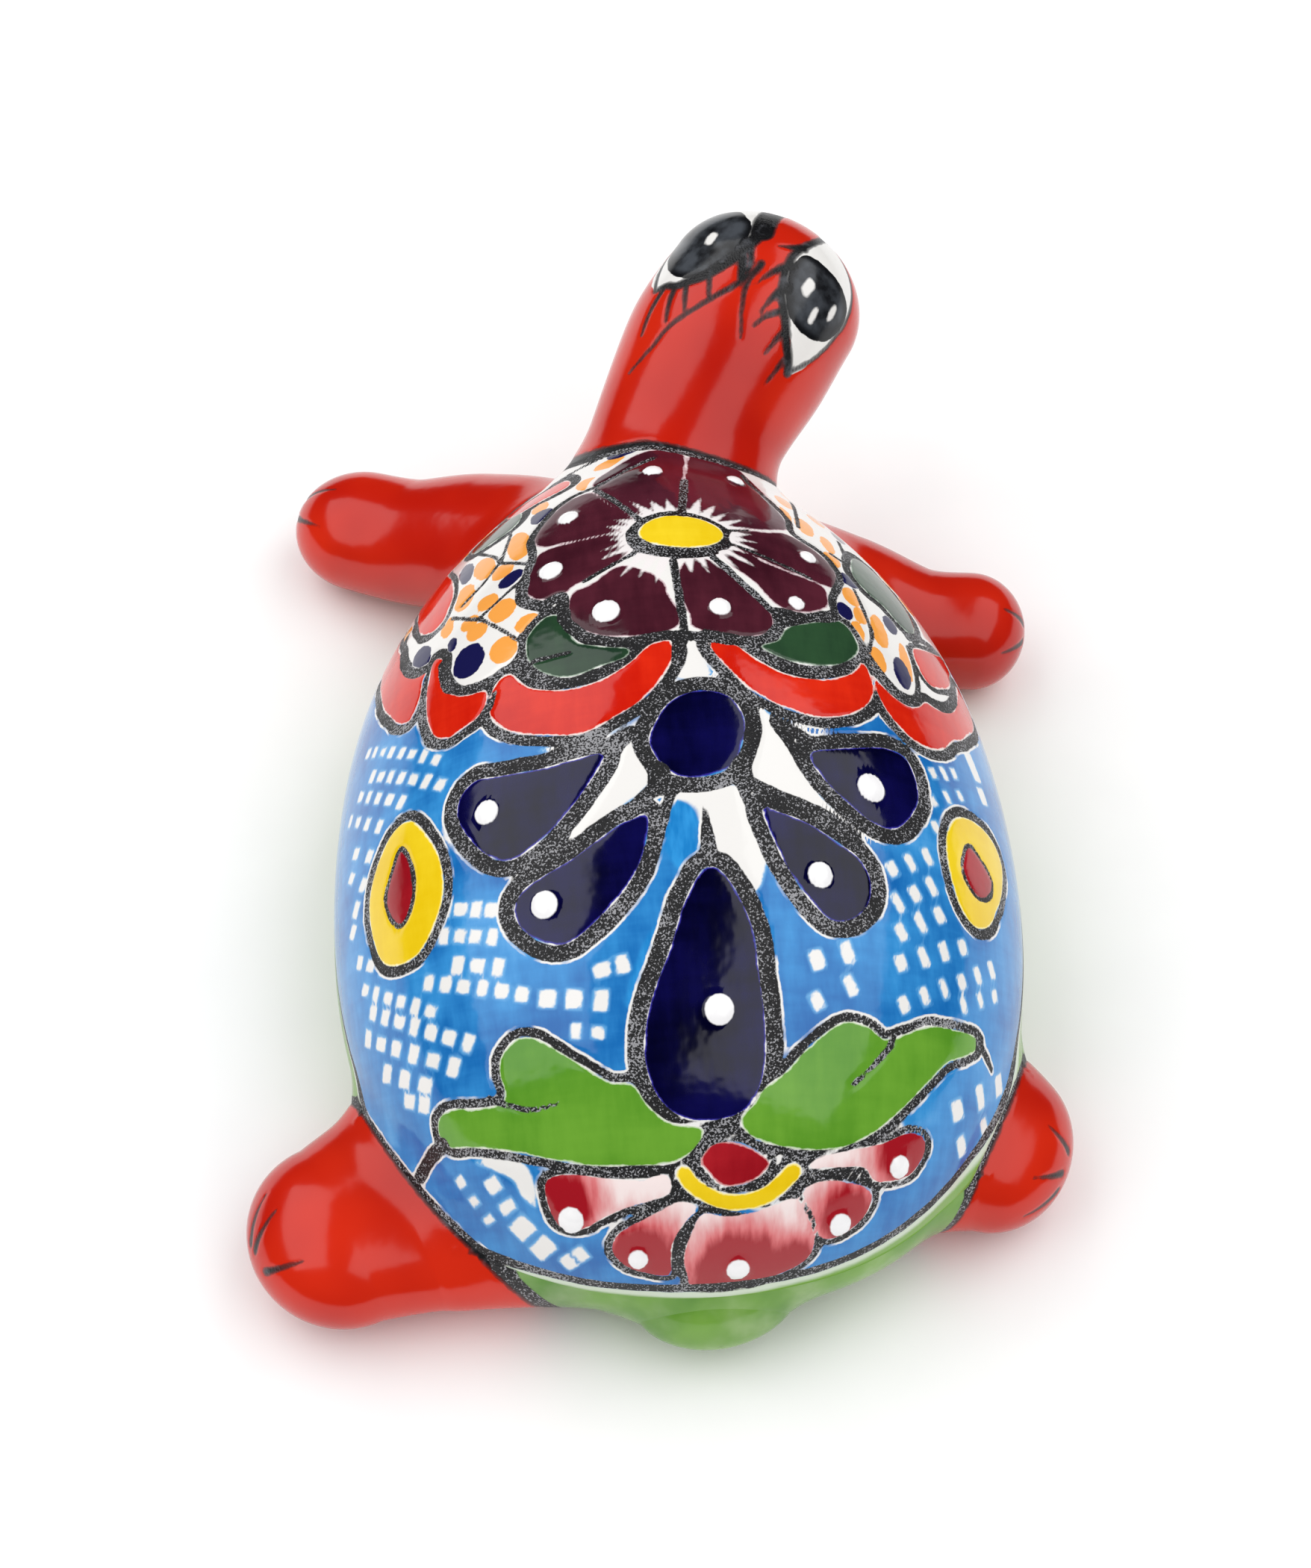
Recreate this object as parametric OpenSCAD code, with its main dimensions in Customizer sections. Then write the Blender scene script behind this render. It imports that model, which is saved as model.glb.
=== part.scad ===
// Glazed ceramic turtle, modelled as the clay pieces that are luted together before firing.
// The head points towards -Y and is turned to the turtle's right. The belly rests on z = 0.

/* [Shell] */
// Half of the shell's width at the rim, beside the crown
shell_half_w = 49.6; // [48.6:0.2:50.6]
// Reach of the rim in front of the crown
shell_front = 62.3; // [61.3:0.2:63.3]
// Reach of the rim behind the crown
shell_rear = 88.2; // [87.2:0.2:89.2]
// Height of the rim, where the carapace meets the band below it
rim_z = 16; // [15:0.5:17]
// Height of the dome above the rim
dome_h = 46; // [44:0.5:48]
// Thickness of the clay wall
wall = 4.5; // [4:0.1:5]
// Thickness of the belly
floor_t = 5; // [4.5:0.1:6]

/* [Underside] */
// How far the body stands outside the rim at its widest line
bulge = 0.2; // [0.1:0.05:0.4]
// Height of the widest line of the body
bulge_z = 14; // [13:0.1:15]

/* [Vent hole] */
// Radius of the firing vent through the belly
vent_r = 4; // [3:0.1:5]
// Distance of the vent behind the origin
vent_y = 20; // [10:1:40]

/* [Limbs and head] */
// Length of the rounded tip of the left flipper
front_left_tip = 12; // [11:0.5:13]
// Length of the rounded tip of the right flipper
front_right_tip = 9; // [8:0.5:10]
// Length of the rounded tip of the left rear foot
rear_left_tip = 13; // [12:0.5:14]
// Length of the rounded tip of the right rear foot
rear_right_tip = 11; // [10:0.5:12]
// Length of the rounded tip of the tail
tail_tip = 6; // [5:0.5:7]
// Length of the rounded snout
snout = 13.5; // [12:0.5:15]
// Thickness of the head's and neck's wall
head_wall = 4.5; // [4:0.1:5]

/* [Smoothness] */
// Facets round the shell
shell_facets = 72; // [48:4:80]
// Facet rings from the rim to the crown
dome_rings = 18; // [12:1:20]
// Facets round the head, a limb or the tail
limb_facets = 28; // [20:4:32]
// Rings between two stations of a limb
rings_between = 3; // [2:1:4]

/* [Hidden] */

// The crown of the dome lies in front of the origin
crown_y = -13;
// Exponents of the rim's superellipse: nearly a blunt point in front, squarer behind
front_power = 1.56;
rear_power = 2.33;
// The rim is wider behind than in front, by this share of its half width for each millimetre
egg = 0.0035;
// Exponent of the dome's profile
dome_power = 1.97;
// Rings on a rounded tip
tip_rings = 6;
// Rings down the side below the rim
side_rings = 10;
// The neck's inner end is a flat cut just inside the shell's wall, tilted like that wall
neck_root = [0, -50, 38.5];
neck_root_tilt = 50;
// Overlap that keeps a cutting solid clear of a shared face
cut = 1;
// Extent of a block that is larger than the whole figure
beyond = 400;

// Below the rim the side is an elliptical arc down to the flat belly
rim_angle = asin((rim_z - bulge_z) / bulge_z);
side_r = bulge / (1 - cos(rim_angle));

// Stations along each limb: [x, y, z, half width, half height]
front_left_stations = [[4, -50, 20, 15, 11], [16, -61, 19, 14.5, 11.5], [28, -69, 15, 13.4, 10.5],
                       [39, -74.2, 10.8, 11.6, 9.6], [47.3, -78.3, 9.4, 11, 9.4]];
front_right_stations = [[-6, -48, 21, 16, 12], [-19, -53, 19, 13.5, 11.5], [-32, -53.3, 14.5, 11.5, 10.2],
                        [-44, -50.5, 10.2, 10.3, 9.4], [-53.3, -49.6, 9.4, 10, 9.4]];
rear_left_stations = [[18, 42, 10, 25, 10], [31, 50.5, 10, 21.5, 10],
                      [43, 55.2, 9.4, 17, 9.4], [51, 58.8, 9.4, 14.3, 9.4]];
rear_right_stations = [[-18, 38, 10, 24, 10], [-27.5, 42.5, 10, 20, 10],
                       [-37, 47.2, 9.4, 15, 9.4], [-43.8, 50, 9.4, 13.4, 9.4]];
tail_stations = [[0, 46, 10, 18, 8], [0, 58, 10, 16, 7.5],
                 [-0.5, 67, 9.5, 13, 6.5], [-1, 73, 9, 9.5, 5.5]];
head_stations = [[0, -40, 30, 15, 13], [-2, -54, 36, 15, 14], [-7, -66, 42.2, 15.5, 14],
                 [-13.8, -77, 48, 17, 16.2], [-20, -84.6, 52.6, 16.6, 15.6]];

// A value between a and b
function blend(a, b, t) = a + (b - a) * t;

// Power that keeps the sign of its base
function signed_pow(v, p) = sign(v) * pow(abs(v), p);

// A point on the rim at angle a, from under the crown, moved outwards by grow
function rim_point(a, grow = 0) =
    let (back = (1 + sin(a)) / 2)
    let (power = blend(front_power, rear_power, back))
    let (reach = blend(shell_front, shell_rear, back) + grow)
    let (y = reach * signed_pow(sin(a), 2 / power))
    [(shell_half_w + grow) * signed_pow(cos(a), 2 / power) * (1 + egg * y), y];

// A ring at height z: the rim grown by grow, and shrunk by share towards the crown
function shell_ring(z, share = 1, grow = 0) =
    [for (i = [0 : shell_facets - 1])
        let (p = rim_point(360 * i / shell_facets, grow))
        [p[0] * share, crown_y + p[1] * share, z]];

// The rings of a dome, from below its rim to its crown
function dome_ring_list(grow, below) = concat(
    [shell_ring(rim_z - below, 1, grow)],
    [for (k = [0 : dome_rings])
        let (t = 90 * k / (dome_rings + 0.3))
        shell_ring(rim_z + (dome_h + grow) * signed_pow(sin(t), 2 / dome_power),
                   signed_pow(cos(t), 2 / dome_power), grow)]);

// The rings of the outside below the rim, from the belly up
function bowl_ring_list() =
    [for (k = [0 : side_rings])
        let (t = -90 + (90 + rim_angle) * k / side_rings)
        shell_ring(bulge_z * (1 + sin(t)), 1, bulge - side_r * (1 - cos(t)))];

// Catmull-Rom interpolation between stations b and c
function between(a, b, c, d, t) =
    0.5 * (2 * b + (c - a) * t + (2 * a - 5 * b + 4 * c - d) * pow(t, 2)
           + (3 * b - a - 3 * c + d) * pow(t, 3));

// The station list with steps added between its entries
function smooth(s) =
    let (last = len(s) - 1)
    concat(
        [for (i = [0 : last - 1]) for (k = [0 : rings_between - 1])
            between(s[max(i - 1, 0)], s[i], s[i + 1], s[min(i + 2, last)], k / rings_between)],
        [s[last]]);

// The first three numbers of a station
function centre(s) = [s[0], s[1], s[2]];

// A vector of length 1
function unit(v) = v / norm(v);

// An ellipse of half sizes w and h about c, square to the direction d
function limb_ring(c, d, w, h) =
    let (side = unit(cross([0, 0, 1], d)))
    let (up = cross(d, side))
    [for (j = [0 : limb_facets - 1])
        let (a = 360 * j / limb_facets)
        c + side * w * cos(a) + up * h * sin(a)];

// All rings of a limb, with a rounded tip of length tip. Both half sizes shrink by inset
function limb_rings(stations, tip, inset = 0) =
    let (s = smooth(stations))
    let (last = len(s) - 1)
    let (away = unit(centre(s[last]) - centre(s[last - 1])))
    concat(
        [for (i = [0 : last])
            let (d = unit(centre(s[min(i + 1, last)]) - centre(s[max(i - 1, 0)])))
            limb_ring(centre(s[i]), d, s[i][3] - inset, s[i][4] - inset)],
        [for (k = [1 : tip_rings])
            let (t = 90 * k / (tip_rings + 0.3))
            limb_ring(centre(s[last]) + away * (tip - inset) * sin(t), away,
                      (s[last][3] - inset) * cos(t), (s[last][4] - inset) * cos(t))]);

// A closed solid through rings that all have the same number of points
module skin(rings) {
    n = len(rings[0]);
    top = (len(rings) - 1) * n;
    points = [for (ring = rings) each ring];
    sides = [for (r = [0 : len(rings) - 2]) for (j = [0 : n - 1])
        let (a = r * n + j)
        let (b = r * n + (j + 1) % n)
        each [[a, b + n, b], [a, a + n, b + n]]];
    lids = [[for (j = [0 : n - 1]) j], [for (j = [n - 1 : -1 : 0]) top + j]];
    polyhedron(points, concat(sides, lids), convexity = 6);
}

// One mesh out of several shapes, so that a joint line between two clay pieces matches exactly
module fused() {
    resize([0, 0, 0]) children();
}

module dome_solid(grow = 0, below = 0) {
    skin(dome_ring_list(grow, below));
}

module bowl_solid() {
    skin(bowl_ring_list());
}

// Everything above height z
module above(z) {
    translate([-beyond / 2, -beyond / 2, z]) cube(beyond);
}

// Everything below height z
module below(z) {
    translate([-beyond / 2, -beyond / 2, z - beyond]) cube(beyond);
}

// The body below the rim, drawn in by the thickness of the wall
module bowl_inside() {
    skin([for (ring = bowl_ring_list()) [for (p = ring)
        let (flat = norm([p[0], p[1] - crown_y]))
        let (share = 1 - wall / flat)
        [p[0] * share, crown_y + (p[1] - crown_y) * share, p[2] * (1 + cut / rim_z)]]]);
}

module body_solid() {
    dome_solid();
    bowl_solid();
}

module neck_solid(inset = 0) {
    skin(limb_rings(head_stations, snout, inset));
}

// A solid limb, trimmed to the outside of the body and flat where it stands
module limb(stations, tip) {
    fused() difference() {
        skin(limb_rings(stations, tip));
        body_solid();
        below(0);
    }
}

// The painted dome, with a hole where the neck passes through its wall
module carapace() {
    color("royalblue") fused() difference() {
        dome_solid();
        dome_solid(grow = -wall, below = cut);
        neck_solid();
    }
}

// The strip of clay between the belly and the carapace, drawn in towards the belly
module rim_band() {
    color("olivedrab") fused() difference() {
        bowl_solid();
        bowl_inside();
        below(floor_t);
    }
}

// The slab that closes the body, round at its edge and flat where it rests, with the vent hole
module belly() {
    color("olivedrab") difference() {
        fused() difference() {
            bowl_solid();
            above(floor_t);
        }
        translate([0, vent_y, -cut]) cylinder(r = vent_r, h = floor_t + 2 * cut, $fn = 48);
    }
}

// The hollow neck and head, open to the space inside the body
module neck_and_head() {
    color("firebrick") fused() difference() {
        neck_solid();
        neck_solid(inset = head_wall);
        translate(neck_root) rotate([neck_root_tilt, 0, 0]) below(0);
    }
}

module front_left_flipper() {
    color("red") limb(front_left_stations, front_left_tip);
}

module front_right_flipper() {
    color("red") limb(front_right_stations, front_right_tip);
}

module rear_left_foot() {
    color("red") limb(rear_left_stations, rear_left_tip);
}

module rear_right_foot() {
    color("red") limb(rear_right_stations, rear_right_tip);
}

module tail() {
    color("olivedrab") limb(tail_stations, tail_tip);
}

carapace();
rim_band();
belly();
neck_and_head();
front_left_flipper();
front_right_flipper();
rear_left_foot();
rear_right_foot();
tail();
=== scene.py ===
"""Looks of a glazed ceramic turtle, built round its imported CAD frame.

Lengths are millimetres until a mesh is made. The paint of the shell is laid out on a flat map:
a point's distance from the crown and its direction are those on the shell. U grows towards the
turtle's left and V towards its tail. The paint of the head and limbs is laid out on a map of
the distance along the limb and the angle round it, with the angle 0 at the top.
"""
import math

import bpy
import numpy as np
from mathutils import Matrix, Vector, kdtree


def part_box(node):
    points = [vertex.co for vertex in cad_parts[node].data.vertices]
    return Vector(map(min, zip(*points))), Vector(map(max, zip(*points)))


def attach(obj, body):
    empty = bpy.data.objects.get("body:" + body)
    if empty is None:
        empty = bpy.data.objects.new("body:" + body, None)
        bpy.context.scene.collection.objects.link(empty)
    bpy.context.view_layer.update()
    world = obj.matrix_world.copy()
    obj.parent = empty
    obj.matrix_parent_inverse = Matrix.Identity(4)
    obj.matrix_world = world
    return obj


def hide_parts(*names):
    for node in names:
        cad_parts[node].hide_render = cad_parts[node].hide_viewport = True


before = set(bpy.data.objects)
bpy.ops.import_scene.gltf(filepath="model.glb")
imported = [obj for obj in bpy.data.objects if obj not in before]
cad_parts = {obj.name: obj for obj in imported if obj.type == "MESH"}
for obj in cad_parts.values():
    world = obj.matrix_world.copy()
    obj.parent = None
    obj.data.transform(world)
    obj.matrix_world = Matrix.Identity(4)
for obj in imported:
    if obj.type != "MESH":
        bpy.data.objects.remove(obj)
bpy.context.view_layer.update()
MM = 0.001


# ---------------- shape of the body

carapace_low, carapace_high = [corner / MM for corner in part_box("carapace")]
CROWN_Y = -13.0
RIM_Z = carapace_low.z
DOME_H = carapace_high.z - carapace_low.z
SHELL_FRONT = CROWN_Y - carapace_low.y
SHELL_REAR = carapace_high.y - CROWN_Y
SHELL_HALF_W = 49.6
FRONT_POWER, REAR_POWER, DOME_POWER = 1.56, 2.33, 1.97
EGG = 0.0035
BULGE, BULGE_Z = 0.2, 14.0
RIM_ANGLE = math.asin((RIM_Z - BULGE_Z) / BULGE_Z)
SIDE_R = BULGE / (1 - math.cos(RIM_ANGLE))
WALL = 4.5
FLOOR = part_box("belly")[1].z / MM
VENT_Y, VENT_R = 20.0, 4.0

# Each limb: its stations (x, y, z, half width, half height), the length of its round tip, how far
# along it the skin starts, and the rows and columns of that skin. The stations are those of the CAD.
LIMBS = {
    "front_left_flipper": ([(4, -50, 20, 15, 11), (16, -61, 19, 14.5, 11.5), (28, -69, 15, 13.4, 10.5),
        (39, -74.2, 10.8, 11.6, 9.6), (47.3, -78.3, 9.4, 11, 9.4)], 12, 4, 170, 150),
    "front_right_flipper": ([(-6, -48, 21, 16, 12), (-19, -53, 19, 13.5, 11.5),
        (-32, -53.3, 14.5, 11.5, 10.2), (-44, -50.5, 10.2, 10.3, 9.4), (-53.3, -49.6, 9.4, 10, 9.4)],
        9, 4, 170, 150),
    "rear_left_foot": ([(18, 42, 10, 25, 10), (31, 50.5, 10, 21.5, 10),
        (43, 55.2, 9.4, 17, 9.4), (51, 58.8, 9.4, 14.3, 9.4)], 13, 3, 150, 150),
    "rear_right_foot": ([(-18, 38, 10, 24, 10), (-27.5, 42.5, 10, 20, 10),
        (-37, 47.2, 9.4, 15, 9.4), (-43.8, 50, 9.4, 13.4, 9.4)], 11, 3, 140, 150),
    "tail": ([(0, 46, 10, 18, 8), (0, 58, 10, 16, 7.5),
        (-0.5, 67, 9.5, 13, 6.5), (-1, 73, 9, 9.5, 5.5)], 6, 6, 90, 130),
    "neck_and_head": ([(0, -40, 30, 15, 13), (-2, -54, 36, 15, 14), (-7, -66, 42.2, 15.5, 14),
        (-13.8, -77, 48, 17, 16.2), (-20, -84.6, 52.6, 16.6, 15.6)], 13.5, 6, 250, 230),
}


def signed_power(value, power):
    return np.sign(value) * np.abs(value) ** power


def rim_point(angle, grow=0.0):
    """Plan view of the rim round the crown, moved outwards by grow."""
    back = (1 + np.sin(angle)) / 2
    power = FRONT_POWER + (REAR_POWER - FRONT_POWER) * back
    reach = SHELL_FRONT + (SHELL_REAR - SHELL_FRONT) * back + grow
    y = reach * signed_power(np.sin(angle), 2 / power)
    x = (SHELL_HALF_W + grow) * signed_power(np.cos(angle), 2 / power) * (1 + EGG * y)
    return x, y


RIM_TURN = np.linspace(-math.pi, math.pi, 1441)
RIM_X, RIM_Y = rim_point(RIM_TURN)
RIM_BEARING = np.unwrap(np.arctan2(RIM_Y, RIM_X))
RIM_REACH = np.hypot(RIM_X, RIM_Y)
CLIMB = np.linspace(0, math.pi / 2, 65)
CLIMB_OUT = np.sin(CLIMB) ** (2 / DOME_POWER)
CLIMB_UP = np.cos(CLIMB) ** (2 / DOME_POWER)


def meridians(bearing):
    """For each bearing: distance out, height and distance along the shell, from the crown down."""
    reach = np.interp(bearing, RIM_BEARING, RIM_REACH, period=2 * math.pi)
    out = reach[:, None] * CLIMB_OUT
    up = DOME_H * CLIMB_UP + 0 * out
    step = np.hypot(np.diff(out, axis=1), np.diff(up, axis=1))
    along = np.concatenate([np.zeros((len(reach), 1)), np.cumsum(step, axis=1)], axis=1)
    return out, up, along


def on_shell(flat):
    """Places on the shell of points on its flat map. Beyond the rim they keep to the rim."""
    flat = np.asarray(flat, float)
    bearing = np.arctan2(flat[:, 1], flat[:, 0])
    far = np.hypot(flat[:, 0], flat[:, 1])
    out, up, along = meridians(bearing)
    far = np.minimum(far, along[:, -1])
    k = np.clip((along < far[:, None]).sum(axis=1), 1, len(CLIMB) - 1)
    row = np.arange(len(k))
    part = (far - along[row, k - 1]) / (along[row, k] - along[row, k - 1])
    reach = out[row, k - 1] + part * (out[row, k] - out[row, k - 1])
    height = up[row, k - 1] + part * (up[row, k] - up[row, k - 1])
    return np.stack([reach * np.cos(bearing), CROWN_Y + reach * np.sin(bearing), RIM_Z + height], axis=1)


def catmull_rom(a, b, c, d, t):
    return 0.5 * (2 * b + (c - a) * t + (2 * a - 5 * b + 4 * c - d) * t ** 2
                  + (3 * b - a - 3 * c + d) * t ** 3)


def smooth(points, steps, closed):
    """A curve through the points, in so many steps from each point to the next."""
    p = np.asarray(points, float)
    count = len(p) if closed else len(p) - 1
    p = np.vstack([p[-1:], p, p[:2]]) if closed else np.vstack([p[:1], p, p[-1:]])
    shares = np.arange(steps)[:, None] / steps
    return np.vstack([catmull_rom(*p[i:i + 4], shares) for i in range(count)])


def smooth_line(points, steps=6):
    """A smooth open curve through the points."""
    return np.vstack([smooth(points, steps, False), points[-1]])


def smooth_loop(points, steps=6):
    """A smooth closed curve through the points."""
    return smooth(points, steps, True)


class Limb:
    """A tube through stations, with a rounded tip."""

    def __init__(self, stations, tip):
        line = smooth_line(stations, 24)
        away = line[-1, :3] - line[-4, :3]
        away /= np.linalg.norm(away)
        turn = np.linspace(0, math.pi / 2, 40)[1:]
        centre = np.vstack([line[:, :3], line[-1, :3] + tip * np.sin(turn)[:, None] * away])
        half = np.vstack([line[:, 3:], line[-1, 3:] * np.cos(turn)[:, None]])
        tangent = np.gradient(line[:, :3], axis=0)
        tangent = np.vstack([tangent, np.repeat(away[None], len(turn), axis=0)])
        tangent /= np.linalg.norm(tangent, axis=1)[:, None]
        side = np.cross([0, 0, 1.0], tangent)
        side /= np.linalg.norm(side, axis=1)[:, None]
        self.centre, self.half, self.side = centre, half, side
        self.up = np.cross(tangent, side)
        skin = np.hypot(np.linalg.norm(np.diff(centre, axis=0), axis=1), np.diff(half[:, 1]))
        self.along = np.concatenate([[0], np.cumsum(skin)])
        self.length = self.along[-1]

    def pick(self, values, along):
        """Station values at distances along the limb's skin."""
        return np.stack([np.interp(along, self.along, column) for column in values.T], axis=1)

    def place(self, flat):
        """Places of map points (distance along, degrees round from the top towards its side)."""
        flat = np.asarray(flat, float)
        turn = np.radians(flat[:, 1])
        half = self.pick(self.half, flat[:, 0])
        side = self.pick(self.side, flat[:, 0]) * (half[:, 0] * np.sin(turn))[:, None]
        up = self.pick(self.up, flat[:, 0]) * (half[:, 1] * np.cos(turn))[:, None]
        return self.pick(self.centre, flat[:, 0]) + side + up


# ---------------- painting

class Paint:
    """Painted marks on a piece: each layer holds how far inside its marks every vertex is, in mm."""

    REACH = 7.0
    OVERLAP = 0.3

    def __init__(self, place, flat, spots):
        self.place, self.flat, self.spots = place, flat, spots
        self.layers = {}

    def layer(self, name):
        return self.layers.setdefault(name, np.full(len(self.spots), -self.REACH))

    def raise_layer(self, name, near, depth):
        """Keeps the greater of the old and new depths at some vertices."""
        layer = self.layer(name)
        layer[near] = np.maximum(layer[near], depth)

    def gaps(self, line):
        """Vertices near a line on the map, their distance from it and their share along it."""
        path = self.place(line)
        low, high = path.min(axis=0) - self.REACH, path.max(axis=0) + self.REACH
        near = np.flatnonzero(((self.spots > low) & (self.spots < high)).all(axis=1))
        spots = self.spots[near]
        best = np.full(len(near), self.REACH)
        share = np.zeros(len(near))
        count = len(path) - 1
        for k in range(count):
            run = path[k + 1] - path[k]
            t = np.clip((spots - path[k]) @ run / max(run @ run, 1e-9), 0, 1)
            gap = np.linalg.norm(spots - path[k] - t[:, None] * run, axis=1)
            closer = gap < best
            best[closer] = gap[closer]
            share[closer] = (k + t[closer]) / count
        return near, best, share

    def inside(self, near, loop):
        x, y = self.flat[near].T
        hit = np.zeros(len(near), bool)
        for (x0, y0), (x1, y1) in zip(loop[:-1], loop[1:]):
            if y0 != y1:
                across = (y0 > y) != (y1 > y)
                hit ^= across & (x < x0 + (y - y0) * (x1 - x0) / (y1 - y0))
        return hit

    def outline(self, name, loop, band=0.0):
        """Fills a closed line on the map, with a band of ink outside it."""
        loop = np.vstack([loop, loop[:1]])
        near, gap, _ = self.gaps(loop)
        low, high = loop.min(axis=0), loop.max(axis=0)
        framed = np.flatnonzero(((self.flat > low) & (self.flat < high)).all(axis=1))
        within = np.zeros(len(self.flat), bool)
        within[framed] = self.inside(framed, loop)
        self.raise_layer(name, np.setdiff1d(framed[within[framed]], near, True), self.REACH)
        depth = np.where(within[near], gap, -gap)
        self.raise_layer(name, near, depth)
        if band:
            self.raise_layer("band", near, np.minimum(self.OVERLAP - depth, band + depth))

    def fill(self, name, points, band=0.0):
        self.outline(name, smooth_loop(points), band)

    def oval(self, name, u, v, half_u, half_v, turn=0.0, corners=12):
        """Fills an oval, whose turn is in radians."""
        angle = np.linspace(0, 2 * math.pi, corners, endpoint=False)
        a, b = half_u * np.cos(angle), half_v * np.sin(angle)
        c, s = math.cos(turn), math.sin(turn)
        self.outline(name, np.stack([u + a * c - b * s, v + a * s + b * c], axis=1))

    def stroke(self, name, points, wide, end_wide=None):
        """A brush line along map points, of a width that may change from start to end."""
        line = smooth_line(points) if len(points) > 2 else np.linspace(*points, 7)
        near, gap, share = self.gaps(line)
        end_wide = wide if end_wide is None else end_wide
        self.raise_layer(name, near, (wide + (end_wide - wide) * share) / 2 - gap)

    def close_bands(self, fills):
        """Keeps the bands of ink off the colours, and adds them to the ink lines."""
        filled = np.max([self.layer(name) for name in fills], axis=0)
        self.layers["ink"] = np.maximum(self.layer("ink"), np.minimum(self.layer("band"), -filled))
        del self.layers["band"]


# The shell's marks, on its map. Each colour has the width of the ink round it, then its outlines.
COBALT = (2.4, [
    [(4.5, 26), (3.5, 22.5), (1, 19), (-3, 17.5), (-7, 18.5), (-9, 22), (-8.5, 26), (-6.5, 30), (-2, 31.5),
     (2, 30.5)],
    [(11, 27), (15, 27), (20, 27.5), (26, 27), (30, 26.5), (32.5, 28.5), (33, 31.5), (31.5, 35), (29, 38.5),
     (26, 40.5), (23, 40), (18.5, 37), (14, 32)],
    [(-18, 27.5), (-22, 26), (-26, 25), (-30, 24), (-33.5, 24.5), (-35, 27.5), (-35, 31.5), (-33, 35),
     (-30, 37.5), (-26.5, 37), (-23, 34.5), (-20, 31.5)],
    [(5.5, 37), (8.5, 37.5), (12, 39.5), (16, 42), (20.5, 44), (23.5, 45.5), (25, 48), (24, 51), (21, 53.5),
     (17.5, 54), (13, 51), (9, 47), (6.5, 42.5)],
    [(-10.5, 36.5), (-13, 37), (-17, 38.5), (-21, 41), (-24, 43), (-25.5, 46), (-25, 49.5), (-22.5, 52),
     (-19.5, 52.5), (-17, 50.5), (-14.5, 47), (-12.5, 43)],
    [(-2.5, 45), (-1, 46), (1.5, 50.5), (3.5, 56), (6, 61.5), (7.5, 66), (8, 71), (6.5, 76), (3, 79),
     (-1.5, 79.5), (-6, 78), (-8.5, 73.5), (-9, 67), (-8.5, 60), (-8, 54), (-6, 48.5), (-4, 45.5)],
])
RED = (1.8, [
    [(0.5, 8.5), (0, 11), (2, 15), (5, 18.5), (9, 21), (13.5, 23), (18, 22.5), (23.5, 20.5), (27, 17),
     (27.5, 13), (26, 10), (24, 9.5), (22.5, 11.5), (20.5, 13.5), (16, 15), (11, 14.5), (6.5, 12), (4, 9.5),
     (2, 8.5)],
    [(36, 0), (36, 4), (35, 7), (33, 9.5), (30.5, 10.5), (28, 11), (28, 13.5), (29.5, 15.5), (32, 16.5),
     (34.5, 17), (37, 15.5), (38.5, 12), (39, 8.5), (39, 4), (38, -1)],
    [(55.5, -20), (54, -11.5), (52, -5), (50, 0.5), (47.5, 4.5), (45.5, 7.5), (43, 9), (41.5, 8),
     (40.5, 5.5), (40, 2), (39.5, 0), (42, -1), (44.5, -4), (46, -7), (47, -11.5), (49, -17), (50, -21.5),
     (51.5, -26)],
    [(-5, 8.5), (-5.5, 11), (-8, 14.5), (-10.5, 17.5), (-15, 20), (-20, 21), (-25, 19.5), (-28.5, 16.5),
     (-30, 13), (-29.5, 9.5), (-28.5, 8.5), (-27.5, 10), (-25.5, 12), (-21, 14), (-16, 14), (-12, 12),
     (-9, 9.5), (-7, 8.5)],
    [(-30, 10.5), (-33, 13), (-36, 14), (-38.5, 13), (-40.5, 11), (-43, 11), (-46.5, 9.5), (-49, 7),
     (-51, 4), (-53, -0.5), (-55, -4), (-58, 0), (-57.5, 4), (-55, 8), (-51.5, 11.5), (-48.5, 14.5),
     (-45.5, 16.5), (-42.5, 19.5), (-39, 21), (-35.5, 20.5), (-32.5, 18), (-30.8, 15)],
    [(26, -45), (21, -43), (15, -42), (14, -37), (19, -36), (25, -37)],
])
RED_PETALS = (1.0, [
    [(46, -31.5), (45.5, -26.5), (44.5, -21.5), (44, -16.5), (42.5, -13), (40.5, -10.5), (38.5, -9.5),
     (36.5, -10.5), (35.5, -13.5), (35, -17), (35.5, -21.5), (36.5, -25.5), (38, -30), (39.5, -34)],
    [(-40.5, -0.5), (-41.5, -2), (-45.5, -4.5), (-48.5, -6.5), (-52, -9.5), (-53, -6), (-51.5, -3),
     (-50, 1), (-47, 4), (-43.5, 6), (-41.5, 5), (-40.5, 2)],
])
DARK_GREEN = (1.7, [
    [(18.5, 0.5), (16, 1), (15, 4), (13.5, 7), (10, 8.5), (6.5, 9.5), (7, 11), (10.5, 12), (15, 13),
     (18.5, 11.5), (21, 8.5), (21.5, 5.5), (21, 3)],
    [(-17, 5), (-21, 3), (-24.5, 1), (-27, 1.5), (-28.5, 4.5), (-28, 7), (-25, 10), (-21, 11.5),
     (-16.5, 11.5), (-12.5, 9.5), (-15, 8), (-16, 6.5)],
    [(-31, -14), (-32, -19.5), (-34, -23), (-37.5, -23.5), (-40.5, -21), (-43, -17), (-44, -13.5),
     (-43.5, -9), (-41.5, -5.5), (-38.5, -6.5), (-36, -9), (-33, -10.5)],
    [(23, -31), (26, -28.5), (31, -29), (33, -33), (31, -37), (27, -38), (23, -36)],
])
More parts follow.
